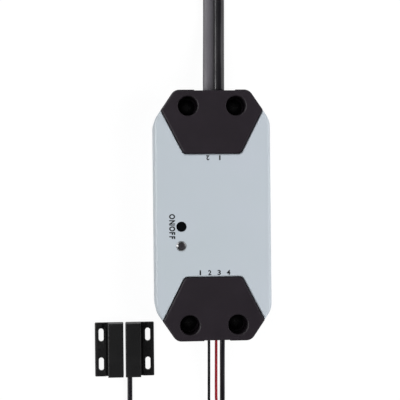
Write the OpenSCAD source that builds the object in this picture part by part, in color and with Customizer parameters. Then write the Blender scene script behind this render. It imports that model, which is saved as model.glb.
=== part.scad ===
/* [Case] */
// Length of the case, end to end
case_len = 96; // [90:1:120]
// Width of the case across its long sides
case_w = 44.6; // [43:0.2:60]
// Height of the case
case_h = 24; // [22:0.5:32]
// Width of each flat end between its corner chamfers
end_w = 28.6; // [26:0.2:34]
// Length of each corner chamfer along the case
chamfer_len = 11.8; // [10.6:0.2:16]
// Radius where an end meets a chamfer
end_corner_r = 3.6; // [1:0.2:5]
// Radius where a side meets a chamfer
side_corner_r = 7.9; // [2:0.1:9]
// Thickness of the walls, floor and roof
wall = 2; // [1.6:0.1:2.4]
// Height of the base shell, where the case parts
base_h = 9; // [8.5:0.5:11]
// Rounding of the upper edge
edge_r = 1.4; // [0.4:0.1:1.6]
// Rounding of the lower edge
foot_r = 0.8; // [0.3:0.1:1.2]
// Height of the tongue on the rim of the base
lip_h = 1; // [0.6:0.1:1.6]
// Thickness of that tongue
lip_t = 0.9; // [0.6:0.1:1.1]
// Height of the shadow line where the case parts
line_h = 0.4; // [0.2:0.1:0.6]
// Depth of that line
line_d = 0.35; // [0.2:0.05:0.6]
// Clearance between moulded pieces
fit_gap = 0.1; // [0.05:0.05:0.2]

/* [Terminal covers] */
// Length of a terminal cover along the case
cover_len = 24.5; // [22:0.5:27]
// Distance from the end of the case to the side tips of a cover
cover_tip_d = 7.7; // [6:0.1:8.4]
// Width of a cover along its inner edge
cover_inner_w = 21.9; // [18:0.1:26]
// Radius of the two inner corners of a cover
cover_corner_r = 1.9; // [0.6:0.1:3]
// Shadow gap between a cover and the upper shell
cover_gap = 0.3; // [0.15:0.05:0.5]
// Rounding of the upper edge of a cover
cover_edge_r = 0.8; // [0.3:0.1:1.4]
// Ledge of the upper shell that a cover clamps
ledge_w = 1; // [0.6:0.1:1.4]
// Thickness of the wall between terminals and board, behind the gap
partition_t = 1.1; // [0.8:0.1:1.6]
// Bevel on the edges of the upper shell beside a cover
edge_bevel = 0.35; // [0.1:0.05:0.6]
// Depth of the recess in the end faces round the cords
port_recess = 0.35; // [0.2:0.05:0.6]
// Width of the recess at the input end
input_recess_w = 15.8; // [12:0.2:20]
// Width of the recess at the output end
output_recess_w = 10; // [8:0.2:16]
// Sideways place of both recesses
recess_x = 1.2; // [0:0.1:2]
// Thickness of the ribs that grip the cords
rib_t = 2; // [1.4:0.1:3]
// Length of jacket that shows behind those ribs
jacket_in = 1; // [0.5:0.1:1.2]

/* [Cover screws] */
// Distance between the two screws of a cover
screw_dx = 18.4; // [17.6:0.2:20]
// Distance from the end of the case to its screws
screw_end = 6.2; // [5.8:0.1:7.4]
// Diameter of a screw well
well_d = 7.6; // [6.4:0.1:8]
// Bevel round the mouth of a well
well_bevel = 0.35; // [0.1:0.05:0.6]
// Wall of the column round a well
well_wall = 1; // [0.8:0.1:1.4]
// Thickness of the seat under a screw head
seat_t = 2; // [1.5:0.1:3]
// Diameter of the screw bosses on the base
boss_d = 7.2; // [7:0.1:8.4]
// Diameter of a screw head
screw_head_d = 5.6; // [5:0.1:6]
// Height of a screw head
screw_head_h = 2; // [1.6:0.1:2.6]
// Diameter of a screw shank
screw_d = 2.9; // [2.5:0.1:3.2]
// Length of a screw below its head
screw_len = 9.6; // [8:0.1:10.4]
// Clearance round a screw shank in its pilot hole
pilot_gap = 0.05; // [0.02:0.01:0.1]
// Clearance round a screw shank in its seat
pass_gap = 0.25; // [0.15:0.05:0.4]
// Height of the screw bosses above the mains lead
boss_over = 0.3; // [0.2:0.05:0.6]

/* [Button and lamp] */
// Place of the button across the case
button_x = -12.1; // [-14:0.1:-10]
// Place of the button along the case
button_y = -4.2; // [-5:0.1:-3]
// Diameter of the button
button_d = 3.8; // [3:0.1:4.4]
// Running clearance round the button
button_gap = 0.07; // [0.03:0.01:0.1]
// Depth of the button below the roof's face
button_recess = 0.4; // [0.2:0.1:1]
// Bevel round the top of the button
button_bevel = 0.25; // [0.1:0.05:0.4]
// Travel of the button
button_travel = 0.4; // [0.2:0.05:0.5]
// Gap above the collar that keeps the button in
collar_gap = 0.1; // [0.05:0.05:0.3]
// Thickness of the collars under the roof
collar_t = 0.9; // [0.6:0.1:1.4]
// Width of the collars under the roof
collar_w = 1; // [0.6:0.1:1.4]
// Diameter of the button's stem
stem_d = 2.6; // [2:0.1:2.8]
// Place of the status lamp across the case
lamp_x = -12.2; // [-14:0.1:-10]
// Place of the status lamp along the case
lamp_y = -11.6; // [-13:0.1:-11]
// Diameter of the light pipe
pipe_d = 3.8; // [3:0.1:4]
// Height of the light pipe's dome
dome_h = 0.7; // [0.3:0.1:1.2]
// Gap between the light pipe and the lamp below it
pipe_gap = 0.3; // [0.1:0.1:0.6]
// Size of the lamp chip on the board
lamp = [3, 3, 1.2];

/* [Board] */
// Height of the board's standoffs above the floor
standoff_h = 3; // [2.5:0.1:3.5]
// Diameter of a standoff
standoff_d = 5.4; // [4.6:0.1:6]
// Thickness of the board
board_t = 1.6; // [1.2:0.1:2]
// Corner radius of the board
board_corner_r = 3; // [2.5:0.1:4]
// Clearance round the board
board_gap = 0.5; // [0.3:0.1:1]
// Distance of the board's screws from its centre line
board_screw_x = 16.8; // [16:0.1:17.2]
// Distance of the board's screws from its middle
board_screw_y = 20; // [19:0.1:20.6]
// Diameter of a board screw
board_screw_d = 2.1; // [1.8:0.1:2.4]
// Diameter of a board screw's head
board_head_d = 4.2; // [3.6:0.1:4.6]
// Height of a board screw's head
board_head_h = 1.5; // [1.2:0.1:2]
// Distance between the poles of the input terminal
input_pitch = 5; // [4.6:0.1:5.4]
// Depth and height of the input terminal
input_terminal_size = [8, 10.4];
// Distance between the poles of the output terminal
output_pitch = 3.5; // [3.3:0.1:3.8]
// Depth and height of the output terminal
output_terminal_size = [7.4, 9];
// Wall between poles and round them
pole_wall = 0.6; // [0.5:0.1:0.8]
// Diameter of a terminal screw
terminal_screw_d = 2.2; // [1.8:0.1:2.3]
// Height of a terminal screw
terminal_screw_h = 2.2; // [1.6:0.1:3]
// Step at the foot of a terminal, before and behind its body
terminal_step = 0.8; // [0.4:0.1:1]
// Depth of the wire entries
entry_depth = 4.6; // [3:0.1:5]
// Distance of the wire entries from the board's end, where the wires bend
bend_room = 2.5; // [2:0.1:2.6]
// Depth of a wire's end in its entry
wire_seat = 2; // [1:0.1:2.6]
// Clearance between the parts on the board
part_gap = 0.5; // [0.3:0.1:0.8]
// Place of the relay across the board
relay_x = 7.6; // [7:0.1:8]
// Size of the relay
relay_size = [10.4, 18, 12.4];
// Width of the rim round the relay's foot
relay_rim = 0.3; // [0.2:0.1:0.6]
// Height of that rim
relay_rim_h = 1; // [0.6:0.1:1.6]
// Diameter of the relay's vent nub
vent_d = 1.2; // [0.8:0.1:2]
// Distance of the vent nub from the relay's end
vent_in = 2; // [1.5:0.1:4]
// Place of the transformer across the board
transformer_x = 11.8; // [11:0.1:12.4]
// Size of the transformer's core
core_size = [12.6, 5.6, 10];
// Thickness of the core's outer legs and yokes
core_leg = 1.8; // [1.4:0.1:2.2]
// Width of the core's middle leg
core_middle = 4; // [3.4:0.1:4.6]
// Depth of the transformer's bobbin
bobbin_d = 10.4; // [9:0.1:11]
// Thickness of the bobbin's foot and cheeks
bobbin_t = 1.4; // [1:0.1:1.8]
// Place of the tall capacitor across the board
big_cap_x = 7.2; // [6:0.1:8]
// Diameter and height of the tall capacitor
big_cap = [8, 11.5];
// Place of the short capacitor across the board
small_cap_x = -4; // [-5:0.1:-2]
// Diameter and height of the short capacitor
small_cap = [6.3, 9];
// Depth of the rolled groove round a capacitor
can_groove = 0.35; // [0.2:0.05:0.5]
// Height of that groove above the board
can_groove_z = 1.4; // [1:0.1:2]
// Place of the bridge rectifier across the board
bridge_x = -4.8; // [-5:0.1:-4]
// Size of the bridge rectifier
bridge_size = [6.4, 8.4, 3.2];
// Height of the bridge rectifier's body above the board
bridge_lift = 0.4; // [0.2:0.1:0.8]
// Size of a leg of the bridge rectifier
bridge_leg = [0.8, 1, 1.4];
// Place of the fuse
fuse_at = [-16.8, 9];
// Diameter and height of the fuse
fuse = [4.6, 8];
// Place of the varistor
varistor_at = [16.4, -8];
// Diameter and thickness of the varistor
varistor = [8, 3.8];
// Diameter of the bulge that rounds the varistor's rim
varistor_bulge = 9; // [8.6:0.1:12]
// Place of the radio module across the board
radio_x = -6; // [-6.4:0.1:-5]
// Size of the radio module's board
radio_size = [15.6, 19, 0.8];
// Size of the can that shields the radio
shield_size = [12.6, 11, 2.2];
// Distance of the shield can from the module's end
shield_inset = 1.2; // [0.6:0.1:2]
// Size of the switch under the button
tact_size = [6, 6, 3.5];
// Diameter of that switch's plunger
plunger_d = 3.4; // [3:0.1:3.6]
// Height of the plunger above its switch
plunger_h = 1.5; // [1:0.1:2]
// Depth of the plunger inside its switch
plunger_in = 1.6; // [1:0.1:2]
// Running clearance of the plunger
plunger_gap = 0.06; // [0.03:0.01:0.1]

/* [Door sensor] */
// Length of each half of the sensor
half_len = 21.4; // [20:0.2:30]
// Width of each half, flange included
half_w = 11.4; // [10.6:0.1:14]
// Width of the raised body of a half
half_body_w = 6.1; // [5.6:0.1:6.6]
// Height of the raised body
half_h = 6.2; // [5.8:0.1:8]
// Thickness of the flange
flange_t = 2; // [1.4:0.1:2.6]
// Corner radius of a half
half_corner_r = 0.4; // [0.3:0.1:1]
// Rounding of the raised body's upper edges
half_edge_r = 0.6; // [0.2:0.1:0.6]
// Width of a fixing slot
slot_w = 2; // [1.6:0.1:2.4]
// Length of a fixing slot, end to end
slot_len = 5.3; // [4:0.1:6]
// Distance between the two slots of a half
slot_pitch = 11.6; // [10:0.1:12.4]
// Distance from the flange's edge to the middle of a slot
slot_edge = 2.5; // [2:0.1:2.8]
// Width of the groove along the foot of the raised body
foot_w = 0.9; // [0.5:0.1:1.2]
// Depth of the groove
foot_d = 0.5; // [0.2:0.1:0.8]
// Side of the square pocket beside the upper slot
notch = 1.5; // [1:0.1:1.6]
// Depth of the pocket
notch_d = 0.8; // [0.4:0.1:1.2]
// Distance from the flange's end to the pocket
notch_end = 0.4; // [0.3:0.1:0.6]
// Length of the line that marks the middle of a half
index_len = 2.6; // [1.5:0.1:3]
// Width of the line
index_w = 0.4; // [0.3:0.05:0.6]
// Depth of the line
index_d = 0.25; // [0.1:0.05:0.5]
// Gap between the two halves at rest
halves_gap = 0.8; // [0.6:0.1:3]
// Face of the reed half that looks at the magnet
sensor_x = -33.9;
// Middle of the sensor along the case
sensor_y = -53.5;
// Thickness of the plates that close the halves' backs
backing_t = 0.8; // [0.6:0.1:1.2]
// Clearance round what lies in a half
pocket_gap = 0.1; // [0.05:0.05:0.2]
// Diameter of the reed's glass capsule
reed_d = 2; // [1.6:0.1:2.4]
// Length of the glass capsule
reed_len = 13; // [10:0.5:14]
// Room beside the capsule in its pocket
reed_room = 0.8; // [0.6:0.1:1]
// Diameter of the reed's leads
reed_lead_d = 0.5; // [0.3:0.1:0.6]
// Length of each reed lead outside the glass
reed_lead_len = 2; // [1:0.1:2.2]
// Size of the bar magnet
magnet = [3.8, 16, 3.4];
// Distance of the sensor cable from the face of the reed half
cable_inset = 1.6; // [1.5:0.1:2.4]
// Height of the sensor cable's underside in the reed half
cable_rise = 1; // [0.8:0.1:1.2]
// Depth of the sensor cable in the reed half
cable_depth = 2.2; // [1.5:0.1:2.6]

/* [Leads] */
// Width of the flat mains lead
mains_w = 8.5; // [8:0.1:8.8]
// Thickness of the flat mains lead
mains_t = 4.2; // [4:0.1:4.4]
// Depth of the groove between the two cores, on each face
mains_groove = 0.6; // [0.3:0.1:0.8]
// Place of the mains lead across the input end
mains_x = 1.9; // [0:0.1:2]
// Diameter of the sensor cable
cable_d = 2; // [1.8:0.1:2.2]
// Place of the sensor cable across the output end
cable_x = 4.4; // [3.8:0.1:4.5]
// Diameter of the two contact wires
wire_d = 1.1; // [0.9:0.1:1.2]
// Place of the black wire across the output end
black_x = -1; // [-1.6:0.1:-0.8]
// Place of the red wire across the output end
red_x = 1.9; // [1.4:0.1:2]
// Clearance round the cords where they pass the case
port_gap = 0.12; // [0.05:0.01:0.2]
// Diameter of a core inside the mains lead
mains_core_d = 1.8; // [1.4:0.1:2]
// Diameter of a core inside the sensor cable
cable_core_d = 0.8; // [0.6:0.1:0.9]
// Length of the stripped wire ends
tip_len = 6; // [4:0.5:8]
// Diameter of the stripped wire ends
tip_d = 0.7; // [0.5:0.1:0.8]
// Outer radius of the mains coil, to the middle of the lead
mains_coil_r = 40; // [38:0.5:41]
// Outer radius of the sensor cable's coil, to the middle of the cable
cable_coil_r = 18.35; // [17:0.05:19]
// Outer radius of the contact wires' coils, to the middle of the wire
wire_coil_r = 9.5; // [9:0.1:10]
// Whole loops of the mains coil
mains_loops = 4; // [3:1:4]
// Loops of the sensor cable's coil on each layer
cable_loops = 4; // [2:1:4]
// Loops of each contact wire's coil on each layer
wire_loops = 2; // [1.5:0.5:2.5]
// Gap between the turns of the mains coil
mains_turn_gap = 0.5; // [0.45:0.05:0.7]
// Height of the gap between the mains coil's two layers
mains_layer_gap = 0.7; // [0.6:0.05:1]
// Inward swing of the mains coil where it climbs a layer
mains_dip = 7; // [6.5:0.5:8]
// Least gap between the turns of a round cord's coil
turn_gap = 0.47; // [0.46:0.01:0.6]
// Thickness of the ties round the coils
tie_t = 0.7; // [0.5:0.1:0.8]
// Width of the ties
tie_w = 3; // [2:0.1:4]
// Clearance between a tie and its coil
tie_gap = 0.2; // [0.1:0.05:0.3]
// Radius inside the corners of a tie
tie_r = 0.7; // [0.3:0.1:1]
// Size of the head of a tie
tie_head = [4.4, 4.2, 2.6];

/* [Plug] */
// Length of the plug's body
plug_len = 22; // [18:0.5:26]
// Width of the plug's body
plug_w = 24; // [22:0.5:24]
// Thickness of the plug's body
plug_t = 14; // [12:0.5:15]
// Width of the plug's body at its back
plug_back_w = 17; // [15:0.5:20]
// Thickness of the plug's body at its back
plug_back_t = 11; // [9:0.5:12]
// Length of the straight front of the plug's body
plug_land = 7; // [4:0.5:12]
// Rounding of the plug's edges
plug_r = 3; // [1:0.5:4]
// Length of the plug's strain relief
relief_len = 20; // [16:1:30]
// Thickness of the strain relief round the lead where it begins
relief_wall = 0.9; // [0.5:0.1:1.2]
// Length of the straight end of the strain relief, at the plug
relief_land = 2; // [1:0.5:4]
// Number of the grooves that let the strain relief bend
relief_grooves = 4; // [2:1:5]
// Width of a groove
relief_groove_w = 1.6; // [1:0.1:2]
// Depth of a groove
relief_groove_d = 0.7; // [0.4:0.1:0.8]
// Distance between the plug's blades
blade_pitch = 12.7; // [12:0.1:13]
// Length of a blade outside the plug
blade_len = 17; // [15:0.5:18]
// Length of a blade inside the plug
blade_in = 8; // [6:0.5:10]
// Width of a blade
blade_w = 6.3; // [6:0.1:6.6]
// Thickness of a blade
blade_t = 1.5; // [1.2:0.1:1.7]
// Diameter of the hole in a blade
blade_hole_d = 3; // [2.5:0.1:3.4]

/* [Hidden] */

$fn = 64;
// Steps in a rounded corner, and in a rounded edge
arc_steps = 6;
edge_steps = 4;
// Thickness of a slice that a rounded form is stretched between
slice = 0.01;
// Overrun of a cut past the face it opens
over = 0.5;
// Least radius of a corner that stays sharp to the eye
least_r = 0.1;
// Span, width and depth of the cross in a screw's head, as shares of the head's diameter and height
drive_span = 0.55;
drive_width = 0.14;
drive_depth = 0.6;
// Height of a terminal screw's head and depth of its slot, as shares of its hole, and the slot's width
slot_head = 0.8;
slot_depth = 0.4;
slot_width = 0.2;

grey = [0.70, 0.74, 0.78];
charcoal = [0.15, 0.14, 0.15];
black = [0.08, 0.08, 0.08];
cord_grey = [0.30, 0.29, 0.32];
red = [0.45, 0.12, 0.14];
green = [0.06, 0.30, 0.16];
steel = [0.70, 0.70, 0.72];
copper = [0.72, 0.42, 0.22];

roof_z = case_h - wall;
end_y = case_len / 2;
port_z = base_h;
port_y = end_y - port_recess;
boss_top = port_z + mains_t / 2 + port_gap + boss_over;
well_floor = boss_top + seat_t;
column_d = well_d + 2 * well_wall;
screw_x = screw_dx / 2;
screw_y = end_y - screw_end;
cover_y = end_y - cover_len;
tip_y = end_y - cover_tip_d;
tip_x = end_w / 2 + (case_w - end_w) / 2 * cover_tip_d / chamfer_len;
// How many times its own length a slanted side of a cover is drawn out, past the end of the case
far = 2.5;

board_z = wall + standoff_h;
board_top = board_z + board_t;
board_w = case_w - 2 * (wall + board_gap);
board_len = 2 * (screw_y - boss_d / 2 - board_gap);
block_y = board_len / 2 - bend_room;
jacket_y = screw_y - rib_t / 2 - jacket_in;
input_terminal_w = 2 * input_pitch + pole_wall;
output_terminal_w = 4 * output_pitch + pole_wall;
output_x = (black_x + cable_x) / 2;
// Half the length of the bay between the two partitions, and what stands in it from either end
bay_y = cover_y - cover_gap - partition_t;
big_cap_at = [big_cap_x, bay_y - part_gap - big_cap[0] / 2];
transformer_at = [transformer_x, big_cap_at.y - big_cap[0] / 2 - part_gap - bobbin_d / 2];
radio_at = [radio_x, bay_y - part_gap - radio_size.y / 2];
relay_at = [relay_x, relay_size.y / 2 + relay_rim + part_gap - bay_y];
small_cap_at = [small_cap_x, small_cap[0] / 2 + part_gap - bay_y];
bridge_at = [bridge_x, small_cap_at.y + small_cap[0] / 2 + part_gap + bridge_size.y / 2];
plunger_top = board_top + tact_size.z + plunger_h;
plunger_bottom = board_top + tact_size.z - plunger_in;
lamp_top = board_top + lamp.z;

reed_at = [sensor_x, sensor_y];
magnet_at = [sensor_x - halves_gap, sensor_y];
cable_hole_z = cable_d / 2 + cable_rise;
pocket_len = max(reed_len + 2 * reed_lead_len, magnet.y) + 4 * pocket_gap;
reed_pocket_w = reed_d + 2 * reed_room;
pocket_h = max(reed_d, magnet.z) + 2 * pocket_gap;

lobe = (mains_w - mains_t) / 2;
coil_rest = tie_t + tie_gap;
mains_pitch = mains_t + mains_turn_gap;
mains_step = mains_w + mains_layer_gap;
climb_share = 0.87;
cable_pitch = (cable_d + turn_gap) / climb_share;
wire_pitch = (wire_d + turn_gap) / climb_share;
rings_per_loop = 24;

// Middles of the coils, and where the leads enter and leave them
mains_coil_at = [-20.5, 149];
mains_coil_in = -20;
mains_coil_out = 0;
cable_coil_at = [-13.95, -98];
wire_coil_at = [19, -93];
// Straight run at each end of a coil
mains_straight = 6;
// Angles of the ties round their coils
mains_tie_angle = 170;
cable_tie_angle = -90;
wire_tie_angle = -90;
// Where the strain relief of the plug begins; the plug points along -X
plug_at = [0, 204];

// Routes of the free stretches. The fourth number of the mains lead's points is its roll: 0 flat, 90 on edge.
mains_points = [[1.9, 52, 9, 0], [2, 57, 8.5, 0], [2.15, 62, 7.2, 0], [2.35, 67, 5.5, 0],
    [2.55, 72, 3.8, 0], [2.7, 77, 2.6, 0], [2.8, 83, 2.15, 0], [2.9, 90, 2.15, 0], [3.6, 96.5, 2.2, 2],
    [5.3, 103, 2.6, 12], [7.9, 110.2, 3.6, 38], [10.9, 118.4, 4.6, 68], [13, 124, 5, 84]];
mains_end_points = [[19.9, 161, 14.3, 90], [21.4, 168, 13.7, 88], [22.9, 175, 12.2, 80],
    [23.7, 181.6, 10.5, 64], [23.4, 187.6, 9.4, 46], [21, 194, 8.4, 26], [16.4, 199.6, 7.7, 10],
    [10.4, 203, 7.2, 2], [5, 204, 7, 0]];
cable_points = [[4.35, -52, 8.9], [4.4, -57, 7.6], [4.55, -62, 5.4], [4.7, -67, 3.2], [4.78, -72, 1.7],
    [4.77, -77, 1.2], [4.65, -84, 1.3], [4.5, -90, 1.7]];
cable_end_points = [[-32.3, -90, 4.4], [-32.38, -85, 3.4], [-32.4, -80, 2.2], [-32.38, -75, 1.5],
    [-32.33, -70, 1.7]];
black_points = [[-0.96, -52, 8.8], [-0.92, -58, 7.4], [-0.84, -64, 5.6], [-0.8, -70, 4.2], [-0.6, -76, 3.5],
    [1.2, -80.2, 3.4], [4, -83, 3.3], [6.8, -85.4, 2.7], [8.8, -88.2, 1.8]];
red_points = [[1.88, -52, 8.9], [1.9, -58, 7.8], [1.95, -64, 6.4], [1.99, -70, 5.2], [2.2, -75, 4.7],
    [3.9, -79.6, 4.6], [6.4, -82.6, 4.7], [8.4, -86, 4.9]];

// Outlines

function unit(v) = v / norm(v);
function left_of(v) = [-v.y, v.x];
function before(k, n) = (k + n - 1) % n;
function after(k, n) = (k + 1) % n;

// The place at corner k of a convex outline that lies d inside both of its edges
function inside_corner(pts, k, d) =
    let (n = len(pts))
    let (a = left_of(unit(pts[k] - pts[before(k, n)])))
    let (b = left_of(unit(pts[after(k, n)] - pts[k])))
    pts[k] + d * (a + b) / (1 + a * b);

// A convex outline, drawn in by inset, with an arc of its own radius at each corner
function rounded(pts, radii, inset = 0) =
    let (n = len(pts))
    let (q = [for (k = [0:n - 1]) inside_corner(pts, k, inset)])
    [for (k = [0:n - 1])
        let (a = unit(q[k] - q[before(k, n)]))
        let (b = unit(q[after(k, n)] - q[k]))
        let (r = max(radii[k] - inset, least_r))
        let (middle = inside_corner(q, k, r))
        let (start = atan2(-a.x, a.y))
        let (turn = acos(min(1, a * b)))
        for (i = [0:arc_steps])
            let (angle = start + turn * i / arc_steps)
            middle + r * [cos(angle), sin(angle)]];

// Corners of a rectangle that starts at x = 0 and is centred on y
function rectangle(w, l) = [[0, -l / 2], [w, -l / 2], [w, l / 2], [0, l / 2]];
function same(r) = [r, r, r, r];

side_y = end_y - chamfer_len;
case_corners = [[case_w / 2, -side_y], [case_w / 2, side_y], [end_w / 2, end_y], [-end_w / 2, end_y],
    [-case_w / 2, side_y], [-case_w / 2, -side_y], [-end_w / 2, -end_y], [end_w / 2, -end_y]];
case_radii = [side_corner_r, side_corner_r, end_corner_r, end_corner_r,
    side_corner_r, side_corner_r, end_corner_r, end_corner_r];
// The ground that the input cover takes, open towards the end of the case
cover_far = [cover_inner_w / 2, cover_y] + far * ([tip_x, tip_y] - [cover_inner_w / 2, cover_y]);
cover_corners = [[cover_inner_w / 2, cover_y], cover_far, [-cover_far.x, cover_far.y],
    [-cover_inner_w / 2, cover_y]];
cover_radii = [cover_corner_r, least_r, least_r, cover_corner_r];

module case_outline(inset = 0) { polygon(rounded(case_corners, case_radii, inset)); }

module cover_ground(inset = 0) { polygon(rounded(cover_corners, cover_radii, inset)); }

module cover_outline(inset = 0) {
    intersection() {
        case_outline(inset);
        cover_ground(inset);
    }
}

// A slab of the case's outline, or of a cover's, with its upper edge rounded
module slab(h, edge, of_cover = false) {
    hull() for (i = [0:edge_steps]) {
        angle = 90 * i / edge_steps;
        inset = edge * (1 - cos(angle));
        linear_extrude(h - edge * (1 - sin(angle)))
            if (of_cover) cover_outline(inset);
            else case_outline(inset);
    }
}

// Children stand once at each place of a pattern that is mirrored about both axes
module at_four(x, y) {
    for (sx = [-1, 1], sy = [-1, 1]) translate([sx * x, sy * y, 0]) children();
}

module at_two(x, y) {
    for (sx = [-1, 1]) translate([sx * x, y, 0]) children();
}

module block_on(at, size, z = board_top) {
    translate([at.x - size.x / 2, at.y - size.y / 2, z]) cube(size);
}

// Cords

// Ends of the twin profile's two lobes and the grooves between them
lobe_angles = [-100, -50, 0, 50, 100];
function twin_profile() = concat(
    [for (a = lobe_angles) [lobe, 0] + mains_t / 2 * [cos(a), sin(a)]],
    [[0, mains_t / 2 - mains_groove]],
    [for (a = lobe_angles) [-lobe, 0] - mains_t / 2 * [cos(a), sin(a)]],
    [[0, mains_groove - mains_t / 2]]);
function round_profile(d, sides) =
    [for (j = [0:sides - 1]) d / 2 * [cos(360 * j / sides), sin(360 * j / sides)]];

// Direction of a path at point i; ends holds the directions at its two ends
function heading(path, i, ends) =
    i == 0 ? ends[0] : i == len(path) - 1 ? ends[1] : unit(path[i + 1] - path[i - 1]);
function place(p) = [p.x, p.y, p.z];

// Points of one ring of a tube whose profile is turned by roll about the path
function ring(path, i, profile, roll, ends) =
    let (ahead = heading(path, i, ends))
    let (side = unit(cross(ahead, [0, 0, 1])))
    let (up = cross(side, ahead))
    [for (p = profile) path[i]
        + (p.x * cos(roll) - p.y * sin(roll)) * side
        + (p.x * sin(roll) + p.y * cos(roll)) * up];

// One closed tube along a path
module tube(path, profile, ends, rolls = []) {
    n = len(path);
    m = len(profile);
    rings = [for (i = [0:n - 1]) each ring(path, i, profile, len(rolls) > 0 ? rolls[i] : 0, ends)];
    walls = [for (i = [0:n - 2], j = [0:m - 1])
        let (a = i * m + j)
        let (b = i * m + (j + 1) % m)
        each [[a, b, b + m], [a, b + m, a + m]]];
    caps = [for (j = [0:m - 1]) each [
        [n * m, (j + 1) % m, j],
        [n * m + 1, (n - 1) * m + j, (n - 1) * m + (j + 1) % m]]];
    polyhedron(concat(rings, [path[0], path[n - 1]]), concat(walls, caps));
}

function ease(u) = u * u * u * (u * (6 * u - 15) + 10);

// A coil of two layers: it spirals in, climbs a layer in half a turn, and spirals out again.
// Radius and height at an angle along the winding; spiral is the angle wound on each layer.
function coil_r(a, r_out, pitch, spiral, dip) =
    let (u = min(1, max(0, (a - spiral) / 180)))
    let (wound = a < spiral ? a : max(spiral - (a - spiral - 180), 0))
    r_out - pitch / 360 * (u < 1 ? min(a, spiral) : wound) - dip * pow(sin(180 * u), 2);
function coil_z(a, z0, step, spiral) = z0 + step * ease(min(1, max(0, (a - spiral) / 180)));

function coil_heading(a, spin) = spin * [-sin(a), cos(a), 0];
// Directions in which a coil begins and ends
function coil_ends(path) = [unit(path[1] - path[0]), unit(path[len(path) - 1] - path[len(path) - 2])];

function coil_path(at, r_out, pitch, z0, step, from, spin, spiral, straight, dip = 0) =
    let (total = 2 * spiral + 180)
    let (steps = ceil(rings_per_loop * total / 360))
    let (turns = [for (k = [0:steps])
        let (a = total * k / steps)
        let (r = coil_r(a, r_out, pitch, spiral, dip))
        let (t = from + spin * a)
        [at.x + r * cos(t), at.y + r * sin(t), coil_z(a, z0, step, spiral)]])
    concat([turns[0] - straight * coil_heading(from, spin)], turns,
        [turns[steps] + straight * coil_heading(from + spin * total, spin)]);

// Least gap between the turns of a coil, taken where two turns pass the same bearing
function coil_gap(r_out, pitch, z0, step, spiral, dip, thick, tall) =
    let (total = 2 * spiral + 180)
    min([for (a = [0:5:total - 360], b = [a + 360:360:total])
        let (dr = abs(coil_r(a, r_out, pitch, spiral, dip) - coil_r(b, r_out, pitch, spiral, dip)))
        let (dz = abs(coil_z(a, z0, step, spiral) - coil_z(b, z0, step, spiral)))
        thick == tall ? norm([dr, dz]) - thick : norm([max(0, dr - thick), max(0, dz - tall)])]);

mains_z = coil_rest + mains_w / 2;
mains_spiral = (360 * mains_loops + mains_coil_out - mains_coil_in - 180) / 2;
mains_winding = coil_path(mains_coil_at, mains_coil_r, mains_pitch, mains_z, mains_step, mains_coil_in, 1,
    mains_spiral, mains_straight, mains_dip);
cable_z = coil_rest + cable_d / 2;
cable_spiral = 360 * cable_loops;
cable_winding = coil_path(cable_coil_at, cable_coil_r, cable_pitch, cable_z, cable_pitch, 0, -1,
    cable_spiral, cable_d);
wire_z = coil_rest + wire_d / 2;
wire_spiral = 360 * wire_loops;
black_winding = coil_path(wire_coil_at, wire_coil_r, wire_pitch, wire_z, wire_pitch, 180, 1,
    wire_spiral, wire_d);
red_winding = coil_path(wire_coil_at, wire_coil_r, wire_pitch, wire_z + 2 * wire_pitch, wire_pitch, 180, 1,
    wire_spiral, wire_d);

echo(mains_coil_least_gap = coil_gap(mains_coil_r, mains_pitch, mains_z, mains_step, mains_spiral, mains_dip,
    mains_t, mains_w));
echo(sensor_coil_least_gap = coil_gap(cable_coil_r, cable_pitch, cable_z, cable_pitch, cable_spiral, 0,
    cable_d, cable_d));
echo(wire_coils_least_gap = coil_gap(wire_coil_r, wire_pitch, wire_z, wire_pitch, wire_spiral, 0,
    wire_d, wire_d));

function last(list) = list[len(list) - 1];
out = [0, 1, 0];

// Round tie about the bundle of a coil, with the head of the tie on top
module tie(at, angle, inner_r, outer_r, height) {
    w = outer_r - inner_r + 2 * tie_gap;
    h = height + 2 * tie_gap;
    translate([at.x, at.y, 0]) rotate([0, 0, angle]) translate([inner_r - tie_gap, tie_w / 2, 0]) {
        rotate([90, 0, 0]) linear_extrude(tie_w) difference() {
            translate([-tie_t, h / 2 + tie_t])
                polygon(rounded(rectangle(w + 2 * tie_t, h + 2 * tie_t), same(tie_r + tie_t)));
            translate([0, h / 2 + tie_t]) polygon(rounded(rectangle(w, h), same(tie_r)));
        }
        translate([w / 2 - tie_head.x / 2, -tie_w / 2 - tie_head.y / 2, h + 2 * tie_t]) cube(tie_head);
    }
}

// Shapes of the cord openings, for cutting the walls and ribs that hold the cords
module input_ports() {
    translate([mains_x, cover_y, port_z]) rotate([-90, 0, 0]) linear_extrude(cover_len + over) {
        square([2 * lobe, mains_t + 2 * port_gap], center = true);
        for (s = [-1, 1]) translate([s * lobe, 0]) circle(d = mains_t + 2 * port_gap);
    }
}

module output_ports() {
    for (p = [[black_x, wire_d], [red_x, wire_d], [cable_x, cable_d]])
        translate([p[0], -cover_y, port_z]) rotate([90, 0, 0])
            cylinder(d = p[1] + 2 * port_gap, h = cover_len + over);
}

module end_recess(w, side) {
    translate([recess_x - w / 2, side > 0 ? port_y : -end_y - over, -over])
        cube([w, port_recess + over, case_h + 2 * over]);
}

// Case

module shadow_line() {
    translate([0, 0, base_h - line_h]) linear_extrude(line_h + over) difference() {
        case_outline(-over);
        case_outline(line_d);
    }
}

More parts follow.
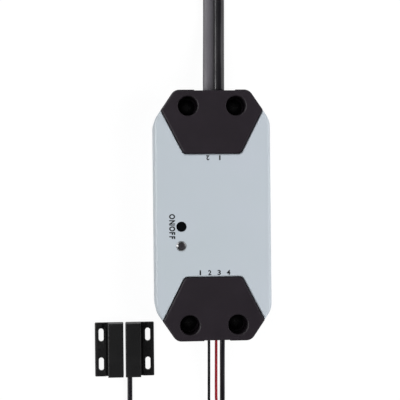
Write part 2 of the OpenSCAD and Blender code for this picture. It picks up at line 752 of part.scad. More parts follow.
module base_shell() {
    rib_w = screw_dx - boss_d / 2;
    color(grey) difference() {
        union() {
            difference() {
                union() {
                    translate([0, 0, base_h]) mirror([0, 0, 1]) slab(base_h, foot_r);
                    translate([0, 0, base_h - over]) linear_extrude(lip_h + over) case_outline(wall - lip_t);
                }
                translate([0, 0, wall]) linear_extrude(base_h) case_outline(wall);
            }
            at_four(screw_x, screw_y) cylinder(d = boss_d, h = boss_top);
            at_four(board_screw_x, board_screw_y) cylinder(d = standoff_d, h = board_z);
            for (s = [-1, 1]) translate([-rib_w / 2, s * screw_y - rib_t / 2, wall / 2])
                cube([rib_w, rib_t, base_h - wall / 2]);
        }
        at_four(screw_x, screw_y) translate([0, 0, well_floor - screw_len - over])
            cylinder(d = screw_d + 2 * pilot_gap, h = screw_len + over);
        at_four(board_screw_x, board_screw_y) translate([0, 0, wall / 2])
            cylinder(d = board_screw_d + 2 * pilot_gap, h = board_z);
        input_ports();
        output_ports();
        end_recess(input_recess_w, 1);
        end_recess(output_recess_w, -1);
        shadow_line();
    }
}

// Half of the rebate that takes the base's tongue
module lip_rebate() {
    translate([0, 0, base_h - over]) linear_extrude(lip_h + fit_gap + over) difference() {
        case_outline(wall - lip_t - fit_gap);
        case_outline(wall + fit_gap);
    }
}

// The upper shell's ground beside a cover, at the input end
module shell_pocket() {
    translate([0, 0, base_h - over]) linear_extrude(roof_z - base_h + over) cover_ground(ledge_w);
    translate([0, 0, roof_z - slice]) linear_extrude(wall + over) cover_ground(-cover_gap);
    hull() {
        translate([0, 0, case_h - edge_bevel]) linear_extrude(slice) cover_ground(-cover_gap);
        translate([0, 0, case_h + slice]) linear_extrude(slice) cover_ground(-cover_gap - edge_bevel);
    }
}

// Wall that hangs from the upper shell between the terminals and the board
module hung_partition() {
    translate([0, 0, board_top + fit_gap]) linear_extrude(base_h - board_top) intersection() {
        difference() {
            cover_ground(-cover_gap - partition_t);
            cover_ground(ledge_w);
        }
        case_outline(wall + lip_t);
    }
}

module top_shell() {
    color(grey) difference() {
        union() {
            difference() {
                translate([0, 0, base_h]) slab(case_h - base_h, edge_r);
                translate([0, 0, base_h - over]) linear_extrude(roof_z - base_h + over) difference() {
                    case_outline(wall);
                    for (s = [0, 1]) mirror([0, s, 0]) cover_ground(-cover_gap - partition_t);
                }
                for (s = [0, 1]) mirror([0, s, 0]) shell_pocket();
            }
            for (s = [0, 1]) mirror([0, s, 0]) hung_partition();
        }
        lip_rebate();
        translate([button_x, button_y, roof_z - over])
            cylinder(d = button_d + 2 * button_gap, h = wall + 2 * over);
        translate([lamp_x, lamp_y, roof_z - over]) cylinder(d = pipe_d + 2 * fit_gap, h = wall + 2 * over);
    }
}

// A terminal cover without its cord openings, at the input end
module cover_form() {
    rib_w = screw_dx - boss_d - 2 * fit_gap;
    difference() {
        union() {
            difference() {
                translate([0, 0, base_h]) slab(case_h - base_h, cover_edge_r, true);
                translate([0, 0, base_h - over]) linear_extrude(roof_z - base_h + over) {
                    case_outline(wall);
                    difference() {
                        case_outline(-over);
                        cover_ground(ledge_w + cover_gap);
                    }
                }
            }
            at_two(screw_x, screw_y) translate([0, 0, boss_top])
                cylinder(d = column_d, h = roof_z - boss_top + slice);
            translate([-rib_w / 2, screw_y - rib_t / 2, base_h])
                cube([rib_w, rib_t, roof_z - base_h + slice]);
        }
        at_two(screw_x, screw_y) {
            translate([0, 0, well_floor]) cylinder(d = well_d, h = case_h);
            translate([0, 0, case_h - well_bevel])
                cylinder(d1 = well_d, d2 = well_d + 2 * well_bevel + 2 * slice, h = well_bevel + slice);
            translate([0, 0, boss_top - over]) cylinder(d = screw_d + 2 * pass_gap, h = seat_t + 2 * over);
        }
        lip_rebate();
    }
}

module input_cover() {
    color(charcoal) difference() {
        cover_form();
        input_ports();
        end_recess(input_recess_w, 1);
    }
}

module output_cover() {
    color(charcoal) difference() {
        mirror([0, 1, 0]) cover_form();
        output_ports();
        end_recess(output_recess_w, -1);
    }
}

// A pan-head screw that stands on its head's seat
module pan_screw(head_d, head_h, d, length) {
    difference() {
        union() {
            rotate_extrude() intersection() {
                translate([0, head_h - head_d]) circle(r = head_d);
                square([head_d / 2, head_h]);
            }
            translate([0, 0, -length]) cylinder(d = d, h = length + slice);
        }
        for (turn = [0, 90]) rotate([0, 0, turn])
            translate([-drive_span / 2 * head_d, -drive_width / 2 * head_d, (1 - drive_depth) * head_h])
                cube([drive_span * head_d, drive_width * head_d, head_h]);
    }
}

module cover_screws() {
    color(black) at_four(screw_x, screw_y) translate([0, 0, well_floor])
        pan_screw(screw_head_d, screw_head_h, screw_d, screw_len);
}

// Button and lamp

module button_cap() {
    top = case_h - button_recess;
    collar_top = roof_z - collar_gap;
    color(black) translate([button_x, button_y, 0]) {
        translate([0, 0, plunger_top]) cylinder(d = stem_d, h = collar_top - plunger_top);
        translate([0, 0, collar_top - collar_t]) cylinder(d = button_d + 2 * collar_w, h = collar_t);
        translate([0, 0, collar_top - slice])
            cylinder(d = button_d, h = top - button_bevel - collar_top + slice);
        translate([0, 0, top - button_bevel - slice])
            cylinder(d1 = button_d, d2 = button_d - 2 * button_bevel, h = button_bevel + slice);
    }
}

module light_pipe() {
    bottom = lamp_top + pipe_gap;
    dome_r = (pow(pipe_d / 2, 2) + dome_h * dome_h) / (2 * dome_h);
    color([0.75, 0.78, 0.80, 0.6]) translate([lamp_x, lamp_y, 0]) {
        translate([0, 0, bottom]) cylinder(d = pipe_d, h = case_h - dome_h - bottom);
        translate([0, 0, roof_z - collar_t]) cylinder(d = pipe_d + 2 * collar_w, h = collar_t);
        translate([0, 0, case_h - dome_h - slice]) rotate_extrude() intersection() {
            translate([0, dome_h - dome_r]) circle(r = dome_r);
            square([pipe_d / 2, dome_h]);
        }
    }
}

module status_led() { color([0.9, 0.9, 0.85]) block_on([lamp_x, lamp_y], lamp); }

module tact_switch() {
    color(black) difference() {
        block_on([button_x, button_y], tact_size);
        translate([button_x, button_y, plunger_bottom - button_travel - fit_gap])
            cylinder(d = plunger_d + 2 * plunger_gap, h = tact_size.z);
    }
}

module switch_plunger() {
    color(charcoal) translate([button_x, button_y, plunger_bottom])
        cylinder(d = plunger_d, h = plunger_top - plunger_bottom);
}

// Board

module circuit_board() {
    color(green) difference() {
        translate([-board_w / 2, 0, board_z]) linear_extrude(board_t)
            polygon(rounded(rectangle(board_w, board_len), same(board_corner_r)));
        at_four(board_screw_x, board_screw_y) translate([0, 0, board_z - over])
            cylinder(d = board_screw_d + 2 * pass_gap, h = board_t + 2 * over);
    }
}

module board_screws() {
    color(steel) at_four(board_screw_x, board_screw_y) translate([0, 0, board_top])
        pan_screw(board_head_d, board_head_h, board_screw_d, board_z - wall + board_t);
}

// A screw terminal with its wire entries towards +Y, its back on y = 0
module terminal(w, size, poles, pitch) {
    entry = pitch - 2 * pole_wall;
    entry_z = port_z - board_top;
    difference() {
        union() {
            translate([-w / 2, 0, 0]) cube([w, size.x, size.y / 2]);
            translate([-w / 2, terminal_step, 0]) cube([w, size.x - 2 * terminal_step, size.y]);
        }
        for (k = [0:poles - 1]) translate([(k - (poles - 1) / 2) * pitch, 0, 0]) {
            translate([-entry / 2, size.x - entry_depth, entry_z - entry / 2]) cube([entry, size.x, entry]);
            translate([0, size.x / 2, size.y - terminal_screw_h])
                cylinder(d = terminal_screw_d + 2 * fit_gap, h = size.y);
        }
    }
}

module input_terminal() {
    color([0.10, 0.40, 0.22]) translate([mains_x, block_y - input_terminal_size.x, board_top])
        terminal(input_terminal_w, input_terminal_size, 2, input_pitch);
}

module output_terminal() {
    color([0.10, 0.40, 0.22]) translate([output_x, output_terminal_size.x - block_y, board_top])
        mirror([0, 1, 0]) terminal(output_terminal_w, output_terminal_size, 4, output_pitch);
}

module terminal_screw() {
    difference() {
        cylinder(d = terminal_screw_d, h = slot_head * terminal_screw_h);
        translate([-terminal_screw_d, -slot_width / 2 * terminal_screw_d, slot_depth * terminal_screw_h])
            cube([2 * terminal_screw_d, slot_width * terminal_screw_d, terminal_screw_h]);
    }
}

module terminal_screws() {
    color(steel) {
        for (k = [-0.5, 0.5]) translate([mains_x + k * input_pitch, block_y - input_terminal_size.x / 2,
            board_top + input_terminal_size.y - terminal_screw_h]) terminal_screw();
        for (k = [-1.5:1.5]) translate([output_x + k * output_pitch, output_terminal_size.x / 2 - block_y,
            board_top + output_terminal_size.y - terminal_screw_h]) terminal_screw();
    }
}

module relay() {
    color([0.12, 0.25, 0.55]) {
        block_on(relay_at, relay_size);
        translate([relay_at.x, relay_at.y + relay_size.y / 2 - vent_in, board_top + relay_size.z - slice])
            cylinder(d = vent_d, h = vent_d / 4);
        block_on(relay_at, [relay_size.x + 2 * relay_rim, relay_size.y + 2 * relay_rim, relay_rim_h]);
    }
}

core_z = board_top + bobbin_t + fit_gap;
window_w = (core_size.x - core_middle) / 2 - core_leg;
window_h = core_size.z - 2 * core_leg;

module transformer_core() {
    color([0.22, 0.21, 0.21]) difference() {
        block_on(transformer_at, core_size, core_z);
        for (s = [-1, 1])
            block_on([transformer_at.x + s * (core_middle + window_w) / 2, transformer_at.y],
                [window_w, core_size.y + 2 * over, window_h], core_z + core_leg);
    }
}

module transformer_bobbin() {
    winding = [core_middle + 2 * (window_w - fit_gap), bobbin_d - bobbin_t, window_h - 2 * fit_gap];
    cheek_y = (bobbin_d - bobbin_t) / 2;
    color([0.80, 0.66, 0.22]) difference() {
        union() {
            block_on(transformer_at, [core_size.x, bobbin_d, bobbin_t]);
            for (s = [-1, 1])
                block_on([transformer_at.x, transformer_at.y + s * cheek_y],
                    [winding.x, bobbin_t, bobbin_t + fit_gap + core_leg + window_h]);
            block_on(transformer_at, winding, core_z + core_leg + fit_gap);
        }
        block_on(transformer_at, [core_middle + 2 * fit_gap, core_size.y + 2 * fit_gap, window_h],
            core_z + core_leg);
    }
}

// A standing can capacitor with a rolled groove above its foot
module can(d, h) {
    rotate_extrude() difference() {
        square([d / 2, h]);
        translate([d / 2 + can_groove / 2, can_groove_z]) circle(r = can_groove);
        translate([0, h - can_groove / 2]) square([d / 4, can_groove]);
    }
}

module capacitors() {
    color([0.10, 0.12, 0.22]) {
        translate([big_cap_at.x, big_cap_at.y, board_top]) can(big_cap[0], big_cap[1]);
        translate([small_cap_at.x, small_cap_at.y, board_top]) can(small_cap[0], small_cap[1]);
    }
}

module bridge_rectifier() {
    leg_x = (bridge_size.x + bridge_leg.x) / 2;
    color(black) {
        block_on(bridge_at, bridge_size - [0, 0, bridge_lift], board_top + bridge_lift);
        for (sx = [-1, 1], sy = [-1, 1])
            block_on(bridge_at + [sx * leg_x, sy * bridge_size.y / 4], bridge_leg);
    }
}

module fuse() {
    color([0.35, 0.22, 0.12]) translate([fuse_at.x, fuse_at.y, board_top]) cylinder(d = fuse[0], h = fuse[1]);
}

module varistor() {
    color([0.15, 0.30, 0.65])
        translate([varistor_at.x - varistor[1] / 2, varistor_at.y, board_top + varistor[0] / 2])
            rotate([0, 90, 0]) rotate_extrude() intersection() {
                square([varistor[0] / 2, varistor[1]]);
                translate([0, varistor[1] / 2]) circle(d = varistor_bulge);
            }
}

module radio_module() { color([0.05, 0.16, 0.30]) block_on(radio_at, radio_size); }

module radio_shield() {
    color(steel) block_on([radio_at.x, radio_at.y - radio_size.y / 2 + shield_inset + shield_size.y / 2],
        shield_size, board_top + radio_size.z);
}

// Wires inside the case

// A wire that swings sideways from its jacket to a pole's entry and ends inside it, after a straight run
module swung_wire(from, to, d, run = 0) {
    steps = 6;
    ahead = to.y > from.y ? out : -out;
    start = [from.x, from.y, port_z];
    swing = [for (k = [0:steps])
        let (u = k / steps)
        start + [(to.x - from.x) * ease(u), (to.y - from.y) * u, 0]];
    tube(concat(run > 0 ? [start - run * ahead] : [], swing, [last(swing) + wire_seat * ahead]),
        round_profile(d, 6), [ahead, ahead]);
}

module input_tail() {
    color(cord_grey) tube([[mains_x, jacket_y, port_z], [mains_x, port_y, port_z]], twin_profile(),
        [out, out]);
}

module input_cores() {
    color([0.35, 0.20, 0.12]) for (s = [-1, 1])
        swung_wire([mains_x + s * lobe, jacket_y], [mains_x + s * input_pitch / 2, block_y], mains_core_d);
}

module output_tails() {
    pole = function (k) [output_x + (k - 1.5) * output_pitch, -block_y];
    run = port_y - jacket_y;
    color(black) swung_wire([black_x, -jacket_y], pole(0), wire_d, run);
    color(red) swung_wire([red_x, -jacket_y], pole(1), wire_d, run);
    color(black) translate([cable_x, -port_y, port_z]) rotate([-90, 0, 0]) cylinder(d = cable_d, h = run);
}

module sensor_cores() {
    spread = cable_d / 4;
    color([0.8, 0.8, 0.8]) for (s = [-1, 1])
        swung_wire([cable_x + s * spread, -jacket_y], [output_x + (1 + s / 2) * output_pitch, -block_y],
            cable_core_d);
}

// Door sensor

// Corners of an upright face from a to b, of height h, whose two upper corners are rounded
function upright(a, b, h) = [[a, 0], [b, 0], [b, h], [a, h]];
upper_corners = [least_r, least_r, half_edge_r, half_edge_r];

// Either half, with its raised body towards x = 0 and its flange beyond
module half_form() {
    intersection() {
        translate([0, half_len / 2, 0]) rotate([90, 0, 0]) linear_extrude(half_len) {
            polygon(rounded(upright(0, half_body_w, half_h), upper_corners));
            polygon(rounded(upright(0, half_w, flange_t), upper_corners));
        }
        rotate([90, 0, 90]) linear_extrude(half_w)
            polygon(rounded(upright(-half_len / 2, half_len / 2, half_h), upper_corners));
        linear_extrude(half_h) polygon(rounded(rectangle(half_w, half_len), same(half_corner_r)));
    }
}

// Groove along the foot of the body, pocket at its end and line at the middle of the flange
module flange_marks() {
    translate([half_body_w, -half_len / 2 - over, flange_t - foot_d])
        cube([foot_w, half_len + 2 * over, half_h]);
    translate([half_body_w + foot_w - over, half_len / 2 - notch_end - notch, flange_t - notch_d])
        cube([notch + over, notch, half_h]);
    translate([half_w - slot_edge - index_len / 2, -index_w / 2, flange_t - index_d])
        cube([index_len, index_w, half_h]);
}

module fixing_slots() {
    for (s = [-1, 1]) translate([half_w - slot_edge, s * slot_pitch / 2, -over]) {
        run = slot_len - slot_w;
        for (e = [-1, 1]) translate([0, e * run / 2, 0]) cylinder(d = slot_w, h = flange_t + 2 * over);
        translate([-slot_w / 2, -run / 2, 0]) cube([slot_w, run, flange_t + 2 * over]);
    }
}

// Space in a half's back, of width w, with its plate's thickness
module back_pocket(w, shrink, z0, z1) {
    translate([half_body_w / 2 - w / 2 + shrink, -pocket_len / 2 + shrink, z0])
        cube([w - 2 * shrink, pocket_len - 2 * shrink, z1 - z0]);
}

module in_reed_half() { translate([reed_at.x, reed_at.y, 0]) children(); }

module in_magnet_half() { translate([magnet_at.x, magnet_at.y, 0]) mirror([1, 0, 0]) children(); }

module reed_housing() {
    color(black) in_reed_half() difference() {
        half_form();
        flange_marks();
        fixing_slots();
        back_pocket(reed_pocket_w, 0, -over, backing_t + pocket_h);
        translate([cable_inset, -half_len / 2 - over, cable_hole_z]) rotate([-90, 0, 0])
            cylinder(d = cable_d + 2 * port_gap, h = cable_depth + over);
    }
}

module reed_backing() { color(charcoal) in_reed_half() back_pocket(reed_pocket_w, pocket_gap, 0, backing_t); }

reed_z = backing_t + pocket_gap + reed_d / 2;

module reed_capsule() {
    color([0.7, 0.85, 0.8, 0.5]) in_reed_half() translate([half_body_w / 2, 0, reed_z]) rotate([-90, 0, 0])
        rotate_extrude($fn = 32) intersection() {
            translate([0, -reed_len / 2]) square([reed_d / 2, reed_len]);
            hull() for (s = [-1, 1]) translate([0, s * (reed_len - reed_d) / 2]) circle(d = reed_d, $fn = 32);
        }
}

module reed_leads() {
    color(steel) in_reed_half() for (s = [0, 1]) mirror([0, s, 0])
        translate([half_body_w / 2, reed_len / 2, reed_z]) rotate([-90, 0, 0])
            cylinder(d = reed_lead_d, h = reed_lead_len);
}

module sensor_tail() {
    color(black) in_reed_half() translate([cable_inset, -half_len / 2, cable_hole_z]) rotate([-90, 0, 0])
        cylinder(d = cable_d, h = cable_depth - pocket_gap);
}

module magnet_housing() {
    color(black) in_magnet_half() difference() {
        half_form();
        flange_marks();
        fixing_slots();
        back_pocket(magnet.x + 2 * pocket_gap, 0, -over, backing_t + pocket_h);
    }
}

module magnet_backing() {
    color(charcoal) in_magnet_half() back_pocket(magnet.x + 2 * pocket_gap, pocket_gap, 0, backing_t);
}

module bar_magnet() {
    color(steel) in_magnet_half() translate([half_body_w / 2 - magnet.x / 2, -magnet.y / 2, backing_t])
        cube(magnet);
}

// Leads

module mains_lead() {
    path = concat([[mains_x, port_y, port_z]], [for (p = mains_points) place(p)], [mains_winding[0]]);
    rolls = concat([0], [for (p = mains_points) p[3]], [90]);
    color(cord_grey) tube(path, twin_profile(), [out, coil_ends(mains_winding)[0]], rolls);
}

module mains_coil() {
    color(cord_grey) tube(mains_winding, twin_profile(), coil_ends(mains_winding),
        [for (p = mains_winding) 90]);
}

module mains_lead_end() {
    path = concat([last(mains_winding)], [for (p = mains_end_points) place(p)],
        [[plug_at.x, plug_at.y, plug_t / 2]]);
    rolls = concat([90], [for (p = mains_end_points) p[3]], [0]);
    color(cord_grey) tube(path, twin_profile(), [coil_ends(mains_winding)[1], [-1, 0, 0]], rolls);
}

module mains_tie() {
    inner = mains_coil_r - mains_pitch * mains_spiral / 360 - mains_t / 2;
    color(black) tie(mains_coil_at, mains_tie_angle, inner, mains_coil_r + mains_t / 2, mains_step + mains_w);
}

// A tapered block of the plug from x0 down to x1, where it runs straight over its land
module plug_block(x0, x1, back, front, land) {
    hull() for (e = [[x0 - slice, back, slice], [x1, front, land]])
        translate([e[0], 0, plug_t / 2 + e[1].y / 2]) rotate([0, 90, 0]) linear_extrude(e[2])
            polygon(rounded(rectangle(e[1].y, e[1].x), same(min(plug_r, e[1].y / 2 - slice))));
}

module plug_body() {
    front = -relief_len - plug_len;
    slot = [blade_in + over, blade_t + 2 * fit_gap, blade_w + 2 * fit_gap];
    color(charcoal) translate([plug_at.x, plug_at.y, 0]) difference() {
        plug_block(-relief_len, front, [plug_back_w, plug_back_t], [plug_w, plug_t], plug_land);
        for (s = [-1, 1])
            translate([front - over, s * blade_pitch / 2 - slot.y / 2, plug_t / 2 - slot.z / 2]) cube(slot);
    }
}

// The strain relief's block, drawn in by inset on all sides
module relief_block(inset = 0) {
    back = [mains_w, mains_t] + (2 * relief_wall - 2 * inset) * [1, 1];
    front = [mains_w, mains_t] + (4 * relief_wall - 2 * inset) * [1, 1];
    plug_block(0, -relief_len, back, front, relief_land);
}

module plug_relief() {
    pitch = (relief_len - relief_land) / (relief_grooves + 1);
    color(charcoal) translate([plug_at.x, plug_at.y, 0]) difference() {
        relief_block();
        for (k = [1:relief_grooves]) difference() {
            translate([-k * pitch - relief_groove_w / 2, -plug_w, -plug_t])
                cube([relief_groove_w, 2 * plug_w, 3 * plug_t]);
            relief_block(relief_groove_d);
        }
    }
}

module plug_blades() {
    front = plug_at.x - relief_len - plug_len;
    color([0.80, 0.72, 0.45]) for (s = [-1, 1])
        translate([front - blade_len, plug_at.y + (s * blade_pitch - blade_t) / 2, (plug_t - blade_w) / 2])
            difference() {
                cube([blade_len + blade_in, blade_t, blade_w]);
                translate([blade_hole_d, -over, blade_w / 2]) rotate([-90, 0, 0])
                    cylinder(d = blade_hole_d, h = blade_t + 2 * over);
            }
}

module sensor_cable() {
    color(black) tube(concat([[cable_x, -port_y, port_z]], cable_points, [cable_winding[0]]),
        round_profile(cable_d, 8), [-out, coil_ends(cable_winding)[0]]);
}

module sensor_coil() {
    color(black) tube(cable_winding, round_profile(cable_d, 6), coil_ends(cable_winding));
}

module sensor_cable_end() {
    port = [reed_at.x + cable_inset, reed_at.y - half_len / 2, cable_hole_z];
    color(black) tube(concat([last(cable_winding)], cable_end_points, [port - cable_d * out, port]),
        round_profile(cable_d, 8), [coil_ends(cable_winding)[1], out]);
}

module sensor_tie() {
    inner = cable_coil_r - cable_pitch * cable_loops - cable_d / 2;
    color(black) tie(cable_coil_at, cable_tie_angle, inner, cable_coil_r + cable_d / 2,
        cable_pitch + cable_d);
}

module black_wire() {
    color(black) tube(concat([[black_x, -port_y, port_z]], black_points, [black_winding[0]]),
        round_profile(wire_d, 8), [-out, coil_ends(black_winding)[0]]);
}

module black_coil() { color(black) tube(black_winding, round_profile(wire_d, 6), coil_ends(black_winding)); }

module red_wire() {
    color(red) tube(concat([[red_x, -port_y, port_z]], red_points, [red_winding[0]]),
        round_profile(wire_d, 8), [-out, coil_ends(red_winding)[0]]);
}

module red_coil() { color(red) tube(red_winding, round_profile(wire_d, 6), coil_ends(red_winding)); }

module wire_tips() {
    color(copper) for (end = [last(black_winding), last(red_winding)])
        translate(end) rotate([-90, 0, 0]) cylinder(d = tip_d, h = tip_len);
}

module wire_tie() {
    inner = wire_coil_r - wire_pitch * wire_loops - wire_d / 2;
    color(black) tie(wire_coil_at, wire_tie_angle, inner, wire_coil_r + wire_d / 2, 3 * wire_pitch + wire_d);
}

base_shell();
top_shell();
input_cover();
output_cover();
cover_screws();
button_cap();
light_pipe();
circuit_board();
board_screws();
input_terminal();
output_terminal();
terminal_screws();
relay();
transformer_core();
transformer_bobbin();
capacitors();
bridge_rectifier();
fuse();
varistor();
radio_module();
radio_shield();
tact_switch();
switch_plunger();
status_led();
input_tail();
input_cores();
output_tails();
sensor_cores();
reed_housing();
reed_backing();
reed_capsule();
reed_leads();
sensor_tail();
magnet_housing();
magnet_backing();
bar_magnet();
mains_lead();
mains_coil();
mains_lead_end();
mains_tie();
plug_body();
plug_relief();
plug_blades();
sensor_cable();
sensor_coil();
sensor_cable_end();
sensor_tie();
black_wire();
black_coil();
red_wire();
red_coil();
wire_tips();
wire_tie();
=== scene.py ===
"""Dresses the garage door controller: finishes, leads as swept tubes, printed marks and a plain studio."""

import math

import bmesh
import bpy
from mathutils import Matrix, Vector


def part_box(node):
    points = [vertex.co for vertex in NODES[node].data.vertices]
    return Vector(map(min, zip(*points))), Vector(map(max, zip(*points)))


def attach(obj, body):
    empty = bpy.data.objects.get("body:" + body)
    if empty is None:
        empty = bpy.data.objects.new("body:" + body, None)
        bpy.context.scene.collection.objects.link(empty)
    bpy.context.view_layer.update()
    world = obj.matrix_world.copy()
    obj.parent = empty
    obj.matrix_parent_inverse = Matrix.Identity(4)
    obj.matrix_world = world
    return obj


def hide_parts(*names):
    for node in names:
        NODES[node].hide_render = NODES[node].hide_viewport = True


bl_info = {
    "name": "Garage door controller",
    "version": (1, 0, 0),
    "blender": (4, 5, 0),
    "location": "3D View > Sidebar > Controller",
    "description": "Dresses an in-line garage door controller with its leads and door sensor",
    "category": "Add Mesh",
}

MM = 0.001

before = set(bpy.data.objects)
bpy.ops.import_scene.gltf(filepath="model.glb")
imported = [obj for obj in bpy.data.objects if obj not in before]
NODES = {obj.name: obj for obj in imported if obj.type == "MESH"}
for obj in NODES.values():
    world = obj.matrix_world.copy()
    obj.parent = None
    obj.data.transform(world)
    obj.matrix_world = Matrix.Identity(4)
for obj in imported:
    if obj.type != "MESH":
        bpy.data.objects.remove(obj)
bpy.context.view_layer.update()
CASE_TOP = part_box("top_shell")[1][2]


# Settings


def colour(label, words, default):
    """A colour that the sidebar offers."""
    return bpy.props.FloatVectorProperty(
        name=label, description=words, subtype="COLOR", size=3, min=0.0, max=1.0, default=default
    )


def length(label, words, default):
    """A length in metres that the sidebar offers."""
    return bpy.props.FloatProperty(
        name=label, description=words, subtype="DISTANCE", unit="LENGTH", min=0.0, default=default
    )


def number(label, words, default):
    """A plain number that the sidebar offers."""
    return bpy.props.FloatProperty(name=label, description=words, min=0.0, default=default)


class ControllerCase(bpy.types.PropertyGroup):
    """Finish of the case and of what shows on it."""

    shell: colour("Shell", "Colour of the two shells", (0.512, 0.572, 0.612))
    cover: colour("Covers", "Colour of the two terminal covers", (0.0142, 0.0103, 0.0146))
    screw: colour("Screws", "Colour of the screws in the wells", (0.0040, 0.0038, 0.0048))
    button: colour("Button", "Colour of the push button", (0.0010, 0.0016, 0.0024))
    ink: colour("Ink", "Colour of the printed marks", (0.006, 0.0065, 0.008))
    grain: length("Grain", "Height of the moulded texture", 0.012 * MM)
    edge: length("Edge", "Width of the broken edges", 0.12 * MM)
    lens_width: length("Lens width", "Diameter of the lamp's lens", 3.8 * MM)
    lens_dome: length("Lens dome", "Height of the lens above the roof", 0.75 * MM)
    ink_lift: length("Ink thickness", "Thickness of the printed marks", 0.015 * MM)


class ControllerLeads(bpy.types.PropertyGroup):
    """Sizes and colours of the leads."""

    mains: colour("Mains lead", "Colour of the mains lead's black core", (0.0070, 0.0060, 0.0085))
    marked: colour("Marked core", "Colour of the mains lead's grey core", (0.122, 0.114, 0.131))
    cable: colour("Sensor cable", "Colour of the sensor cable", (0.0055, 0.0045, 0.0075))
    black: colour("Black wire", "Colour of the black contact wire", (0.0045, 0.0043, 0.0060))
    red: colour("Red wire", "Colour of the red contact wire", (0.30, 0.012, 0.021))
    mains_width: length("Mains width", "Width of the flat mains lead", 8.5 * MM)
    mains_thickness: length("Mains thickness", "Thickness of the flat mains lead", 4.2 * MM)
    mains_groove: length("Mains groove", "Depth of the groove between the two cores", 0.65 * MM)
    cable_width: length("Cable width", "Diameter of the sensor cable", 2.0 * MM)
    wire_width: length("Wire width", "Diameter of the contact wires", 1.1 * MM)


class ControllerStage(bpy.types.PropertyGroup):
    """Camera, floor and lights."""

    camera_place: bpy.props.FloatVectorProperty(
        name="Camera place",
        description="Where the camera stands",
        subtype="TRANSLATION",
        unit="LENGTH",
        default=(-32.06 * MM, 7.5 * MM, 424.0 * MM),
    )
    camera_turn: bpy.props.FloatVectorProperty(
        name="Camera turn",
        description="How the camera is turned from looking straight down",
        subtype="EULER",
        unit="ROTATION",
        default=(math.radians(-0.187), math.radians(-3.881), math.radians(-0.598)),
    )
    focal_px: number("Focal length", "Focal length in pixels of the square picture", 1053.4)
    floor: colour("Floor", "Colour of the floor", (0.86, 0.86, 0.865))
    zenith: number("Light from above", "Strength of the surrounding light straight above", 0.12)
    horizon: number("Light from the sides", "Strength of the surrounding light at the horizon", 0.45)
    key_lamp: number("Key", "Power of the large soft lamp on the right", 3.0)
    fill_lamp: number("Fill", "Power of the high soft lamp on the left", 2.25)
    left_card: number("Left card", "Power of the bright card on the left that gloss shows", 4.6)
    right_card: number("Right card", "Power of the dim card on the right that gloss shows", 0.6)
    far_left_card: number("Far left card", "Power of the card on the left past the mains lead", 2.2)
    far_right_card: number("Far right card", "Power of the card on the right past the mains lead", 0.7)


def case_settings():
    """The settings of the case."""
    return bpy.context.scene.controller_case


def lead_settings():
    """The settings of the leads."""
    return bpy.context.scene.controller_leads


def stage_settings():
    """The settings of the stage."""
    return bpy.context.scene.controller_stage


# Node trees


def feed(tree, socket, value):
    """Links a socket to another one, or sets it to a plain value."""
    if isinstance(value, bpy.types.NodeSocket):
        tree.links.new(value, socket)
    else:
        socket.default_value = value


def joined(tree, operation, one, two):
    """The result of one sum on two sockets or numbers."""
    made = tree.nodes.new("ShaderNodeMath")
    made.operation = operation
    feed(tree, made.inputs[0], one)
    feed(tree, made.inputs[1], two)
    return made.outputs[0]


def ramp(tree, value, source, result):
    """A value that goes through the range result as the given one goes through the range source."""
    made = tree.nodes.new("ShaderNodeMapRange")
    feed(tree, made.inputs["Value"], value)
    for socket, level in zip(("From Min", "From Max", "To Min", "To Max"), source + result):
        made.inputs[socket].default_value = level
    return made.outputs["Result"]


def opaque(tone):
    """A tone as a full colour."""
    return list(tone) + [1.0]


# Finishes

# Sockets of a node that mixes two colours
MIX_ONE = 6
MIX_TWO = 7
MIX_RESULT = 2
# Range that most of a noise lies in
NOISE_RANGE = (0.3, 0.7)
# Distances from a cell's middle between which a fleck fades, and the step that picks the cells with one
FLECK_FADE = (0.06, 0.16)
FLECK_STEP = 0.01
# Attribute that tells a twin lead's marked core with its painted shade, the roughness there, and the grey at
# which that is reached
CORE_GREY_AND_SHADE = "core_mark"
CORE_ROUGHNESS = 0.62
CORE_MATT = 0.1
# Shares of the lens's width between which its cloud fades and its brim of painted light begins
LENS_CLOUD = (0.22, 0.36)
LENS_PAINTED_LIGHT = (0.415, 0.455)


